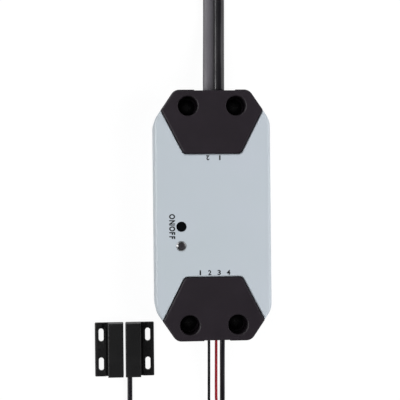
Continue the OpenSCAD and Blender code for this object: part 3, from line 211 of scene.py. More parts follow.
class Finish:
    """A node material on one Principled shader, with short calls for the nodes that feed it.

    In a socket's name, a low line stands for a space.
    """

    def __init__(self, name, roughness, **sockets):
        self.material = bpy.data.materials.new(name)
        self.material.use_nodes = True
        self.tree = self.material.node_tree
        self.tree.nodes.clear()
        self.shader = self.tree.nodes.new("ShaderNodeBsdfPrincipled")
        output = self.tree.nodes.new("ShaderNodeOutputMaterial")
        self.tree.links.new(self.shader.outputs[0], output.inputs["Surface"])
        self.place = self.tree.nodes.new("ShaderNodeTexCoord").outputs["Object"]
        self.shader.inputs["Roughness"].default_value = roughness
        for socket, value in sockets.items():
            self.shader.inputs[socket.replace("_", " ")].default_value = value

    def node(self, kind, **inputs):
        """A new node whose sockets take the given links or values."""
        made = self.tree.nodes.new(kind)
        for socket, value in inputs.items():
            feed(self.tree, made.inputs[socket.replace("_", " ")], value)
        return made

    def noise(self, scale, detail=3.0, roughness=0.55, vector=None):
        """A noise on the piece's own coordinates or on a given vector."""
        vector = vector or self.place
        made = self.node("ShaderNodeTexNoise", Vector=vector, Scale=scale, Detail=detail, Roughness=roughness)
        return made.outputs["Fac"]

    def mix(self, factor, one, two):
        """A colour between two others."""
        made = self.tree.nodes.new("ShaderNodeMix")
        made.data_type = "RGBA"
        feed(self.tree, made.inputs["Factor"], factor)
        feed(self.tree, made.inputs[MIX_ONE], one)
        feed(self.tree, made.inputs[MIX_TWO], two)
        return made.outputs[MIX_RESULT]

    def mottled(self, tone, amount, scale, other=None):
        """A colour that wanders a little round a tone, or from it to another."""
        low = opaque(c * (1.0 - amount) for c in tone)
        high = opaque(min(1.0, c * (1.0 + amount)) for c in (other or tone))
        return self.mix(ramp(self.tree, self.noise(scale, detail=4.0), NOISE_RANGE, (0.0, 1.0)), low, high)

    def flecked(self, base, tone, scale, share):
        """Sparse flecks of another tone, as of dust in a moulding."""
        cells = self.node("ShaderNodeTexVoronoi", Vector=self.place, Scale=scale)
        small = ramp(self.tree, cells.outputs["Distance"], FLECK_FADE, (1.0, 0.0))
        picked = (1.0 - share, 1.0 - share + FLECK_STEP)
        chosen = ramp(self.tree, cells.outputs["Color"], picked, (0.0, 1.0))
        return self.mix(joined(self.tree, "MULTIPLY", small, chosen), base, opaque(tone))

    def paint(self, colours):
        """Gives the shader its colours."""
        feed(self.tree, self.shader.inputs["Base Color"], colours)

    def polish(self, low, high, scale):
        """Lets the roughness wander between two values."""
        rough = ramp(self.tree, self.noise(scale, detail=4.0), NOISE_RANGE, (low, high))
        feed(self.tree, self.shader.inputs["Roughness"], rough)

    def bump(self, height, depth):
        """Raises the surface by a height map of the given depth."""
        made = self.node("ShaderNodeBump", Height=height, Distance=depth, Strength=1.0)
        feed(self.tree, self.shader.inputs["Normal"], made.outputs["Normal"])


def moulded(
    name, tone, roughness, grain, grain_scale=2600.0,
    amount=0.04, specular=0.5, flecks=None, drift=90.0, other=None,
):
    """Moulded plastic: a fine eroded texture, uneven polish and a slight drift of colour."""
    finish = Finish(name, roughness, Specular_IOR_Level=specular)
    base = finish.mottled(tone, amount, drift, other)
    finish.paint(finish.flecked(base, *flecks) if flecks else base)
    finish.polish(roughness - 0.06, roughness + 0.06, scale=160.0)
    finish.bump(finish.noise(grain_scale, detail=5.0, roughness=0.6), grain)
    return finish.material


def drawn_metal(name, tone, roughness):
    """Bright metal with fine drawing lines."""
    finish = Finish(name, roughness, Metallic=1.0)
    stretched = finish.node("ShaderNodeMapping", Vector=finish.place, Scale=(1.0, 12.0, 1.0)).outputs[0]
    finish.paint(finish.mottled(tone, amount=0.10, scale=220.0))
    finish.polish(roughness - 0.08, roughness + 0.10, scale=400.0)
    finish.bump(finish.noise(scale=1500.0, vector=stretched), depth=0.004 * MM)
    return finish.material


def jacket(name, tone, roughness, specular=0.5):
    """Extruded cord jacket: satin, with a faint orange peel and traces of handling."""
    finish = Finish(name, roughness, Specular_IOR_Level=specular)
    finish.paint(finish.mottled(tone, amount=0.12, scale=130.0))
    finish.polish(roughness - 0.07, roughness + 0.08, scale=240.0)
    finish.bump(finish.noise(scale=900.0, detail=4.0), depth=0.005 * MM)
    return finish.material


def marked_jacket(name, tone, marked, roughness):
    """Jacket of a twin lead whose one core is marked by a matt grey, which painted shade darkens by the
    groove and past the crest.
    """
    finish = Finish(name, roughness)
    side = finish.tree.nodes.new("ShaderNodeAttribute")
    side.attribute_name = CORE_GREY_AND_SHADE
    grey_and_shade_share = side.outputs["Fac"]
    black = finish.mottled(tone, amount=0.12, scale=130.0)
    grey = finish.mottled(marked, amount=0.05, scale=130.0)
    # The grey share carries painted shade as well as the core's own grey
    finish.paint(finish.mix(grey_and_shade_share, black, grey))
    rough = ramp(finish.tree, grey_and_shade_share, (0.0, CORE_MATT), (roughness, CORE_ROUGHNESS))
    feed(finish.tree, finish.shader.inputs["Roughness"], rough)
    finish.bump(finish.noise(scale=900.0, detail=4.0), depth=0.004 * MM)
    return finish.material


def clear_lens(name, core, rim, painted_light_tone, axis, width):
    """Smoked clear plastic: cloudy round its axis, dark further out, with painted light as a pale brim, and
    polished.
    """
    coat = dict(Coat_Weight=1.0, Coat_Roughness=0.05, Coat_IOR=1.5)
    finish = Finish(name, 0.08, Transmission_Weight=0.3, IOR=1.45, **coat)
    off_axis = finish.node("ShaderNodeMapping", Vector=finish.place, Scale=(1.0, 1.0, 0.0))
    off_axis.inputs["Location"].default_value = (-axis[0], -axis[1], 0.0)
    reach = finish.node("ShaderNodeVectorMath", Vector=off_axis.outputs[0])
    reach.operation = "LENGTH"
    outward, painted_light_share = (
        ramp(finish.tree, reach.outputs["Value"], (start * width, end * width), (0.0, 1.0))
        for start, end in (LENS_CLOUD, LENS_PAINTED_LIGHT)
    )
    cloudy = finish.mottled(core, amount=0.45, scale=900.0)
    smoked = finish.mix(outward, cloudy, opaque(rim))
    # The pale brim at the lens's edge is painted light
    finish.paint(finish.mix(painted_light_share, smoked, opaque(painted_light_tone)))
    return finish.material


def glass(name, tone):
    """Thin drawn glass."""
    finish = Finish(name, 0.03, Transmission_Weight=0.95, IOR=1.5)
    finish.paint(finish.mottled(tone, amount=0.03, scale=300.0))
    return finish.material


# Pieces

BODY = "controller"
# Distance at which corners are one, and the turns at which an edge is broken or stays a crease
WELD = 0.001 * MM
BROKEN_ANGLE = math.radians(38.0)
CREASE_ANGLE = math.radians(32.0)


def soften(piece, edge=0.0, segments=2):
    """Breaks a piece's edges where a width is given, and otherwise keeps them as creases."""
    weld = piece.modifiers.new("weld", "WELD")
    weld.merge_threshold = WELD
    if edge > 0.0:
        bevel = piece.modifiers.new("edges", "BEVEL")
        bevel.width = edge
        bevel.segments = segments
        bevel.limit_method = "ANGLE"
        bevel.angle_limit = BROKEN_ANGLE
        flat = piece.modifiers.new("flats", "WEIGHTED_NORMAL")
        flat.mode = "FACE_AREA"
    else:
        crease = piece.modifiers.new("creases", "EDGE_SPLIT")
        crease.split_angle = CREASE_ANGLE


def dress(node, material, edge=0.0, segments=2):
    """Gives a CAD node its finish, smooth shading and, where asked, broken edges."""
    piece = NODES[node]
    piece.data.materials.clear()
    piece.data.materials.append(material)
    for face in piece.data.polygons:
        face.use_smooth = True
    soften(piece, edge, segments)


def add_piece(name, mesh, material, smooth=True):
    """Puts a new mesh in the scene, riding on the controller, with its finish."""
    piece = bpy.data.objects.new(name, mesh)
    bpy.context.scene.collection.objects.link(piece)
    mesh.materials.append(material)
    for face in mesh.polygons:
        face.use_smooth = smooth
    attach(piece, BODY)
    return piece


def as_mesh(name, shape):
    """A mesh from a finished shape."""
    mesh = bpy.data.meshes.new(name)
    shape.to_mesh(mesh)
    shape.free()
    return mesh


# Leads

# Directions of a lead's ends
AHEAD_X = Vector((1.0, 0.0, 0.0))
AHEAD_Y = Vector((0.0, 1.0, 0.0))
# Grey of the mains lead's marked core, which painted shade darkens by the groove and past the crest: metres
# from the middle to its edge and to its fullest tone, the tone that it starts with by the groove, and its
# fall past the fullest tone for each metre
CORE_EDGE = 0.3 * MM
CORE_PEAK = 2.2 * MM
CORE_GROOVE_SHADE = 0.06
CORE_OUTER_SHADE_FALL = 100.0
# From here on, places and sizes of the leads are in millimetres, and angles in degrees
# Distance of the cord ports from the middle of the case, and their height
PORT_Y = 47.65
PORT_Z = 9.0
# A tie's thickness, width, gap to the coil, head, height under a coil and width of its broken edges
TIE_T = 0.7
TIE_W = 3.0
TIE_GAP = 0.2
TIE_HEAD = (4.4, 4.2, 2.6)
TIE_REST = TIE_T + TIE_GAP
TIE_EDGE = 0.15
# Least gap between the turns of a round cord, and how much of the spacing of the turns the climb leaves
TURN_GAP = 0.47
CLIMB_SHARE = 0.87
# Angles round a lobe of the mains lead, and the groove from its shoulder to its middle, across and up
LOBE_ARC = range(-117, 118, 13)
GROOVE_FALL = ((0.98, 0.36), (0.72, 0.27), (0.52, 0.135), (0.36, 0.06), (0.15, 0.02), (0.0, 0.0))
# The mains lead from its port to the coil, and from the coil to the plug; each point ends with its roll
MAINS_X = 1.9
MAINS_COIL = dict(at=(-20.5, 149.0), radius=40.0, start=-20.0, spin=1, straight=6.0, dip=7.0)
MAINS_TURNS = 4.0 + 20.0 / 360.0
MAINS_PITCH = 4.7
MAINS_STEP = 9.2
MAINS_TIE_ANGLE = 170.0
MAINS_OUT = (
    (1.9, 52, 9, 0), (2, 57, 8.5, 0), (2.15, 62, 7.2, 0), (2.35, 67, 5.5, 0), (2.55, 72, 3.8, 0),
    (2.7, 77, 2.6, 0), (2.8, 83, 2.15, 0), (2.9, 90, 2.15, 0), (3.6, 96.5, 2.2, 2), (5.3, 103, 2.6, 12),
    (7.9, 110.2, 3.6, 38), (10.9, 118.4, 4.6, 68), (13, 124, 5, 84),
)
MAINS_END = (
    (19.9, 161, 14.3, 90), (21.4, 168, 13.7, 88), (22.9, 175, 12.2, 80), (23.7, 181.6, 10.5, 64),
    (23.4, 187.6, 9.4, 46), (21, 194, 8.4, 26), (16.4, 199.6, 7.7, 10), (10.4, 203, 7.2, 2), (5, 204, 7, 0),
)
PLUG_AT = (0.0, 204.0, 7.0)
# The sensor cable from its port to the coil, and from the coil to the reed half
CABLE_X = 4.4
CABLE_COIL = dict(at=(-13.95, -98.0), radius=18.35, start=0.0, spin=-1, spiral=1440.0)
CABLE_OUT = (
    (4.35, -52, 8.9), (4.4, -57, 7.6), (4.55, -62, 5.4), (4.7, -67, 3.2), (4.78, -72, 1.7), (4.77, -77, 1.2),
    (4.65, -84, 1.3), (4.5, -90, 1.7),
)
CABLE_END = (
    (-32.3, -90, 4.4), (-32.38, -85, 3.4), (-32.4, -80, 2.2), (-32.38, -75, 1.5), (-32.33, -70, 1.7),
)
SENSOR_PORT = (-32.3, -64.2, 2.0)
# The contact wires from their ports to the coil that they share
WIRE_COIL = dict(at=(19.0, -93.0), radius=9.5, start=180.0, spin=1, spiral=720.0)
BLACK_X = -1.0
BLACK_OUT = (
    (-0.96, -52, 8.8), (-0.92, -58, 7.4), (-0.84, -64, 5.6), (-0.8, -70, 4.2), (-0.6, -76, 3.5),
    (1.2, -80.2, 3.4), (4, -83, 3.3), (6.8, -85.4, 2.7), (8.8, -88.2, 1.8),
)
RED_X = 1.9
RED_OUT = (
    (1.88, -52, 8.9), (1.9, -58, 7.8), (1.95, -64, 6.4), (1.99, -70, 5.2), (2.2, -75, 4.7),
    (3.9, -79.6, 4.6), (6.4, -82.6, 4.7), (8.4, -86, 4.9),
)


def mm(points):
    """Points in metres from points in millimetres."""
    return [Vector(p) * MM for p in points]


def ease(u):
    """A rise from zero to one with level ends."""
    return u * u * u * (u * (6.0 * u - 15.0) + 10.0)


def coil(at, radius, pitch, low, step, start, spin, spiral, straight, dip=0.0, rings=48):
    """Middle line of a coil of two layers: it spirals in, climbs for half a turn and spirals out.

    Spiral is the angle that one layer turns through, spin is 1 or -1, straight is the length of the ends that
    leave the coil, dip is how far the climb goes inwards, and rings is the number of points in a turn.
    """
    total = 2.0 * spiral + 180.0
    count = math.ceil(rings * total / 360.0)
    points = []
    for k in range(count + 1):
        angle = total * k / count
        climb = min(1.0, max(0.0, (angle - spiral) / 180.0))
        wound = min(angle, spiral) if climb < 1.0 else max(total - angle, 0.0)
        r = radius - pitch / 360.0 * wound - dip * math.sin(math.pi * climb) ** 2
        turn = math.radians(start + spin * angle)
        x = at[0] + r * math.cos(turn)
        y = at[1] + r * math.sin(turn)
        points.append(Vector((x, y, low + step * ease(climb))))
    first = math.radians(start)
    last = math.radians(start + spin * total)
    lead_in = points[0] - straight * spin * Vector((-math.sin(first), math.cos(first), 0.0))
    lead_out = points[-1] + straight * spin * Vector((-math.sin(last), math.cos(last), 0.0))
    return [lead_in] + points + [lead_out]


def smooth_route(points, rolls, spacing):
    """Points at about an even spacing on a curve through the given ones, with their rolls."""
    path, turned_by = [], []
    end = len(points) - 1
    for i in range(end):
        p0 = points[max(i - 1, 0)]
        p1, p2 = points[i], points[i + 1]
        p3 = points[min(i + 2, end)]
        gap = (p2 - p1).length
        before = (p2 - p0) * (gap / (gap + (p1 - p0).length))
        after = (p3 - p1) * (gap / ((p3 - p2).length + gap))
        steps = max(1, round(gap / spacing))
        for k in range(steps):
            t = k / steps
            h = t * t * (3.0 - 2.0 * t)
            path.append(
                p1 * (1.0 - h) + p2 * h + before * (t * (1.0 - t) ** 2) - after * (t * t * (1.0 - t))
            )
            turned_by.append(rolls[i] * (1.0 - h) + rolls[i + 1] * h)
    return path + [points[-1]], turned_by + [rolls[-1]]


def tube(name, path, rolls, profile, ends):
    """A closed tube of a given profile along a path; rolls turn the profile about the path."""
    shape = bmesh.new()
    rings = []
    last = len(path) - 1
    for i, point in enumerate(path):
        if i == 0:
            ahead = ends[0]
        elif i == last:
            ahead = ends[1]
        else:
            ahead = (path[i + 1] - path[i - 1]).normalized()
        side = ahead.cross(Vector((0.0, 0.0, 1.0))).normalized()
        up = side.cross(ahead)
        c, s = math.cos(math.radians(rolls[i])), math.sin(math.radians(rolls[i]))
        rings.append(
            [shape.verts.new(point + (u * c - v * s) * side + (u * s + v * c) * up) for u, v in profile]
        )
    m = len(profile)
    for one, two in zip(rings, rings[1:]):
        for j in range(m):
            shape.faces.new((one[j], two[j], two[(j + 1) % m], one[(j + 1) % m]))
    for ring, flip in ((rings[0], False), (rings[-1], True)):
        middle = shape.verts.new(sum((v.co for v in ring), Vector()) / m)
        for j in range(m):
            pair = (ring[j], ring[(j + 1) % m])
            shape.faces.new((middle, pair[1], pair[0]) if flip else (middle, pair[0], pair[1]))
    bmesh.ops.recalc_face_normals(shape, faces=shape.faces)
    return as_mesh(name, shape)


def core_grey_with_painted_shade(across):
    """Share of the marked core's grey: painted shade keeps it near black by the groove, it is full on the
    crest, and painted shade dims it past the crest.
    """
    if across < -CORE_EDGE:
        return 0.0
    rise = CORE_GROOVE_SHADE + (1.0 - CORE_GROOVE_SHADE) * max(across, 0.0) / CORE_PEAK
    return min(rise, 1.0 - CORE_OUTER_SHADE_FALL * max(across - CORE_PEAK, 0.0))


def mark_core_grey_and_shade(mesh, profile):
    """Notes the marked core's grey, with its painted shade, on every corner of a tube's rings."""
    marks = mesh.attributes.new(CORE_GREY_AND_SHADE, "FLOAT", "POINT")
    for i, entry in enumerate(marks.data):
        entry.value = core_grey_with_painted_shade(-profile[i % len(profile)][0])


def round_profile(width, sides=16):
    """Points round a circle about the origin."""
    angles = [2.0 * math.pi * j / sides for j in range(sides)]
    return [(width / 2.0 * math.cos(a), width / 2.0 * math.sin(a)) for a in angles]


def twin_profile(width, thickness, groove):
    """Two round lobes with a groove between them on each face; its shoulders fall steeply, then ease out."""
    lobe = (width - thickness) / 2.0
    radius = thickness / 2.0
    waist = radius - groove
    arc = [math.radians(a) for a in LOBE_ARC]
    right = [(lobe + radius * math.cos(a), radius * math.sin(a)) for a in arc]
    slope = [(x * MM, waist + y * MM) for x, y in GROOVE_FALL]
    top = slope + [(-x, y) for x, y in slope[-2::-1]]
    left = [(-x, -y) for x, y in right]
    bottom = [(-x, -y) for x, y in top]
    return right + top + left + bottom


def rounded_loop(width, height, radius, steps=6):
    """Points round a rectangle with rounded corners about the origin."""
    loop = []
    for k, (across, up) in enumerate(((1, 1), (-1, 1), (-1, -1), (1, -1))):
        for j in range(steps + 1):
            turn = math.radians(90.0 * (k + j / steps))
            x = across * (width / 2.0 - radius) + radius * math.cos(turn)
            y = up * (height / 2.0 - radius) + radius * math.sin(turn)
            loop.append((x, y))
    return loop


def strap(name, winding, at, angle, lead):
    """A tie drawn tight round a coil, with its head on top; lead is the cord's size across and upright."""
    place = Matrix.Translation((at[0], at[1], 0.0)) @ Matrix.Rotation(math.radians(angle), 4, "Z")
    back = place.inverted()
    near = [p for p in (back @ point for point in winding) if p.x > 0.0 and abs(p.y) < TIE_W]
    reach = lead[0] / 2.0 + TIE_GAP
    rise = lead[1] / 2.0 + TIE_GAP
    x0, x1 = min(p.x for p in near) - reach, max(p.x for p in near) + reach
    z0, z1 = min(p.z for p in near) - rise, max(p.z for p in near) + rise
    x, z = (x0 + x1) / 2.0, (z0 + z1) / 2.0
    shape = bmesh.new()
    loops = []
    for grow in (0.0, TIE_T):
        loop = rounded_loop(x1 - x0 + 2.0 * grow, z1 - z0 + 2.0 * grow, reach + grow)
        for y in (-TIE_W / 2.0, TIE_W / 2.0):
            loops.append([shape.verts.new((x + u, y, z + v)) for u, v in loop])
    count = len(loops[0])
    for one, two in ((0, 1), (1, 3), (3, 2), (2, 0)):
        for j in range(count):
            k = (j + 1) % count
            shape.faces.new((loops[one][j], loops[one][k], loops[two][k], loops[two][j]))
    top = Matrix.Translation((x, 0.0, z1 + TIE_T / 2.0 + TIE_HEAD[2] / 2.0))
    bmesh.ops.create_cube(shape, size=1.0, matrix=top @ Matrix.Diagonal((*TIE_HEAD, 1.0)))
    bmesh.ops.transform(shape, matrix=Matrix.Scale(MM, 4) @ place, verts=shape.verts)
    bmesh.ops.recalc_face_normals(shape, faces=shape.faces)
    return as_mesh(name, shape)


def tie_nylon():
    """The finish that all the ties share."""
    made = bpy.data.materials.get("tie_nylon")
    return made or moulded("tie_nylon", (0.010, 0.010, 0.011), 0.42, 0.01 * MM, grain_scale=900.0, amount=0.1)


def lay_lead(name, stretches, profile, material, nodes, ends, spacing, rolls=None):
    """One lead through its stretches in turn; returns the piece and the points it follows."""
    points = [p for stretch in stretches for p in stretch]
    path, turned_by = smooth_route(points, rolls or [0.0] * len(points), spacing)
    piece = add_piece(name, tube(name, path, turned_by, profile, ends), material)
    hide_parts(*nodes)
    return piece, path


class CONTROLLER_OT_mains_lead(bpy.types.Operator):
    """Adds the flat mains lead with its coil and the tie round that"""

    bl_idname = "controller.mains_lead"
    bl_label = "Mains lead"

    def execute(self, context):
        leads = lead_settings()
        low = TIE_REST + leads.mains_width / MM / 2.0
        spiral = (360.0 * MAINS_TURNS - 180.0) / 2.0
        winding = coil(pitch=MAINS_PITCH, low=low, step=MAINS_STEP, spiral=spiral, **MAINS_COIL)
        out = [(MAINS_X, PORT_Y, PORT_Z)] + [p[:3] for p in MAINS_OUT]
        end = [p[:3] for p in MAINS_END] + [PLUG_AT]
        rolls = [0.0] + [p[3] for p in MAINS_OUT]
        rolls += [90.0] * len(winding)
        rolls += [p[3] for p in MAINS_END] + [0.0]
        profile = twin_profile(leads.mains_width, leads.mains_thickness, leads.mains_groove)
        piece, path = lay_lead(
            "mains_cord",
            [mm(out), mm(winding), mm(end)],
            profile,
            marked_jacket("mains_jacket", leads.mains, leads.marked, roughness=0.28),
            ("mains_lead", "mains_coil", "mains_lead_end"),
            ends=(AHEAD_Y, -AHEAD_X),
            spacing=2.0 * MM,
            rolls=rolls,
        )
        # Painted shade: the grey core goes dark by the groove and dims past its crest
        mark_core_grey_and_shade(piece.data, profile)
        across = (leads.mains_thickness / MM, leads.mains_width / MM)
        band = strap("mains_strap", winding, MAINS_COIL["at"], MAINS_TIE_ANGLE, across)
        tie = add_piece("mains_strap", band, tie_nylon())
        soften(tie, TIE_EDGE * MM)
        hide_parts("mains_tie")
        return {"FINISHED"}


class CONTROLLER_OT_sensor_cable(bpy.types.Operator):
    """Adds the round cable that runs to the reed half of the door sensor"""

    bl_idname = "controller.sensor_cable"
    bl_label = "Sensor cable"

    def execute(self, context):
        leads = lead_settings()
        width = leads.cable_width / MM
        pitch = (width + TURN_GAP) / CLIMB_SHARE
        winding = coil(pitch=pitch, low=TIE_REST + width / 2.0, step=pitch, straight=width, **CABLE_COIL)
        before_port = (SENSOR_PORT[0], SENSOR_PORT[1] - width, SENSOR_PORT[2])
        out = [(CABLE_X, -PORT_Y, PORT_Z), *CABLE_OUT]
        end = [*CABLE_END, before_port, SENSOR_PORT]
        piece, path = lay_lead(
            "sensor_cord",
            [mm(out), mm(winding), mm(end)],
            round_profile(leads.cable_width),
            jacket("cable_jacket", leads.cable, roughness=0.38, specular=0.28),
            ("sensor_cable", "sensor_coil", "sensor_cable_end"),
            ends=(-AHEAD_Y, AHEAD_Y),
            spacing=1.2 * MM,
        )
        return {"FINISHED"}


class CONTROLLER_OT_contact_wires(bpy.types.Operator):
    """Adds the black and the red contact wire, whose coil lies on the black one's two layers"""

    bl_idname = "controller.contact_wires"
    bl_label = "Contact wires"

    def execute(self, context):
        leads = lead_settings()
        width = leads.wire_width / MM
        pitch = (width + TURN_GAP) / CLIMB_SHARE
        low = TIE_REST + width / 2.0
        for name, x, points, tone, slot, lift, carried in (
            ("black", BLACK_X, BLACK_OUT, leads.black, "cord_black", 0.0, ("wire_tips", "wire_tie")),
            ("red", RED_X, RED_OUT, leads.red, "wire_red", 2.0 * pitch, ()),
        ):
            winding = coil(pitch=pitch, low=low + lift, step=pitch, straight=width, **WIRE_COIL)
            piece, path = lay_lead(
                name + "_cord",
                [mm([(x, -PORT_Y, PORT_Z), *points]), mm(winding)],
                round_profile(leads.wire_width, sides=12),
                jacket(name + "_jacket", tone, roughness=0.40, specular=0.18),
                (name + "_wire", name + "_coil"),
                ends=(-AHEAD_Y, AHEAD_Y),
                spacing=0.9 * MM,
            )
        return {"FINISHED"}


# Case

# The tone that the shells drift to, as shares of their own
SHELL_DRIFT = (1.01, 0.985, 1.015)
# How much deeper the covers' texture is than the shells', and the tone, scale and share of their flecks
COVER_GRAIN = 1.6
COVER_FLECKS = ((0.13, 0.12, 0.13), 420.0, 0.02)


class CONTROLLER_OT_case(bpy.types.Operator):
    """Finishes the shells, the terminal covers and their screws"""

    bl_idname = "controller.case"
    bl_label = "Case"

    def execute(self, context):
        case = case_settings()
        bluer = [c * k for c, k in zip(case.shell, SHELL_DRIFT)]
        shell = moulded(
            "shell_plastic", case.shell, 0.46, case.grain,
            amount=0.012, specular=0.35, drift=28.0, other=bluer,
        )
        cover = moulded(
            "cover_plastic", case.cover, 0.58, case.grain * COVER_GRAIN,
            grain_scale=2200.0, amount=0.10, specular=0.24, flecks=COVER_FLECKS,
        )
        screw = Finish("screw_blacking", 0.42)
        screw.paint(screw.mottled(case.screw, amount=0.3, scale=600.0))
        screw.polish(0.32, 0.5, scale=900.0)
        screw.bump(screw.noise(scale=1800.0, detail=4.0), depth=0.006 * MM)
        for node in ("base_shell", "top_shell"):
            dress(node, shell, case.edge)
        for node in ("input_cover", "output_cover"):
            dress(node, cover, case.edge)
        dress("cover_screws", screw.material, edge=0.06 * MM)
        return {"FINISHED"}


# Button and lamp

# Thickness of the roof, height of the collar that holds the lens under it, and tones of cloud, smoke and the
# brim's painted light
ROOF = 2.0 * MM
COLLAR = 0.9 * MM
LENS_TONES = ((0.050, 0.047, 0.055), (0.010, 0.011, 0.014), (0.34, 0.37, 0.39))


def turned(name, profile, axis, sides=48):
    """A solid turned about an upright axis; the profile runs from bottom to top as (radius, height)."""
    shape = bmesh.new()
    rings = []
    for radius, height in profile:
        if radius == 0.0:
            rings.append([shape.verts.new((axis[0], axis[1], height))] * sides)
            continue
        circle = round_profile(2.0 * radius, sides)
        rings.append([shape.verts.new((axis[0] + x, axis[1] + y, height)) for x, y in circle])
    for one, two in zip(rings, rings[1:]):
        for j in range(sides):
            corners = (one[j], one[(j + 1) % sides], two[(j + 1) % sides], two[j])
            shape.faces.new(tuple(dict.fromkeys(corners)))
    bmesh.ops.recalc_face_normals(shape, faces=shape.faces)
    return as_mesh(name, shape)


def lens_profile(low, collar_low, collar_high, collar, radius, roof, dome, steps=12):
    """Pipe, collar under the roof and round dome above it."""
    ball = (radius * radius + dome * dome) / (2.0 * dome)
    widest = math.asin(radius / ball)
    cap = [
        (ball * math.sin(widest * k / steps), roof + dome - ball * (1.0 - math.cos(widest * k / steps)))
        for k in range(steps, 0, -1)
    ]
    pipe = [(0.0, low), (radius, low), (radius, collar_low), (collar, collar_low), (collar, collar_high)]
    return pipe + [(radius, collar_high)] + cap + [(0.0, roof + dome)]


class CONTROLLER_OT_controls(bpy.types.Operator):
    """Finishes the push button, the status lamp and the switch under the button"""

    bl_idname = "controller.controls"
    bl_label = "Button and lamp"

    def execute(self, context):
        case = case_settings()
        matt = moulded(
            "button_plastic", case.button, 0.6, 0.006 * MM,
            grain_scale=3000.0, amount=0.2, specular=0.05,
        )
        dress("button_cap", matt, edge=0.08 * MM)
        self.lamp(case)
        dress("status_led", moulded("led_body", (0.78, 0.77, 0.70), 0.35, 0.004 * MM))
        black = moulded("switch_plastic", (0.012, 0.012, 0.013), 0.45, 0.006 * MM)
        for node in ("tact_switch", "switch_plunger"):
            dress(node, black, edge=0.1 * MM)
        return {"FINISHED"}

    @staticmethod
    def lamp(case):
        """The lens, with its dome proud of the roof, in place of the light pipe."""
        low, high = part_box("light_pipe")
        axis = ((low[0] + high[0]) / 2.0, (low[1] + high[1]) / 2.0)
        collar_high = CASE_TOP - ROOF
        profile = lens_profile(
            low[2], collar_high - COLLAR, collar_high, (high[0] - low[0]) / 2.0,
            case.lens_width / 2.0, CASE_TOP, case.lens_dome,
        )
        finish = clear_lens("lens_plastic", *LENS_TONES, axis, case.lens_width)
        lens = add_piece("lamp_lens", turned("lamp_lens", profile, axis), finish)
        soften(lens)
        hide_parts("light_pipe")


# Printed marks

# Share of a letter's nominal size that its height takes, and the steps in its curves
CAP_SHARE = 0.73
LETTER_STEPS = 6
# The switch's letters, each with its place along the line and its width, and the widths of the figures
SWITCH_LETTERS = (
    ("O", -3.78, 1.95), ("N", -1.60, 1.65), ("/", -0.44, 0.60),
    ("O", 0.87, 1.95), ("F", 2.62, 1.05), ("F", 4.18, 1.05),
)
FIGURE_W = (0.55, 1.25, 1.25, 1.35)


def figures(count, pitch):
    """Plain figures from one upwards, evenly spread about the middle."""
    return [(str(k + 1), pitch * (k - (count - 1) / 2.0), FIGURE_W[k]) for k in range(count)]


# Each mark's letters, height, boldness and place in millimetres, and its turn in degrees
MARKS = (
    ("switch_mark", SWITCH_LETTERS, 2.3, 0.14, (-15.64, -4.1), -90.0),
    ("input_figures", figures(2, pitch=4.6), 1.85, 0.085, (0.5, 21.95), 180.0),
    ("output_figures", figures(4, pitch=3.6), 1.9, 0.085, (0.3, -21.8), 0.0),
)


def glyph(letter, width, height, spread):
    """One letter or figure as a thin solid of the given size, about the origin and with its foot at zero."""
    context = bpy.context
    data = bpy.data.curves.new("letter", "FONT")
    data.body = letter
    data.size = height / CAP_SHARE
    data.resolution_u = LETTER_STEPS
    data.offset = spread
    data.extrude = case_settings().ink_lift / 2.0
    stamp = bpy.data.objects.new("letter", data)
    context.scene.collection.objects.link(stamp)
    context.view_layer.update()
    mesh = bpy.data.meshes.new_from_object(stamp.evaluated_get(context.evaluated_depsgraph_get()))
    bpy.data.objects.remove(stamp)
    low = Vector([min(v.co[k] for v in mesh.vertices) for k in range(3)])
    high = Vector([max(v.co[k] for v in mesh.vertices) for k in range(3)])
    middle = (low + high) / 2.0
    fitted = Matrix.Diagonal((width / (high.x - low.x), height / (high.y - low.y), 1.0, 1.0))
    mesh.transform(fitted @ Matrix.Translation((-middle.x, -middle.y, -low.z)))
    return mesh


def printed(name, letters, height, spread, at, turn):
    """A mark on the roof, set letter by letter."""
    shape = bmesh.new()
    for letter, along, width in letters:
        stamp = glyph(letter, width * MM, height * MM, spread * MM)
        stamp.transform(Matrix.Translation((along * MM, 0.0, 0.0)))
        shape.from_mesh(stamp)
        bpy.data.meshes.remove(stamp)
    mesh = as_mesh(name, shape)
    place = Matrix.Translation((at[0] * MM, at[1] * MM, CASE_TOP))
    mesh.transform(place @ Matrix.Rotation(math.radians(turn), 4, "Z"))
    return mesh


class CONTROLLER_OT_marks(bpy.types.Operator):
    """Prints plain figures at the terminals and the switch's own words by its button"""

    bl_idname = "controller.marks"
    bl_label = "Printed marks"

    def execute(self, context):
        ink = Finish("ink", 0.55, Specular_IOR_Level=0.3)
        ink.paint(ink.mottled(case_settings().ink, amount=0.2, scale=500.0))
        for name, *mark in MARKS:
            add_piece(name, printed(name, *mark), ink.material, smooth=False)
        return {"FINISHED"}


# Board


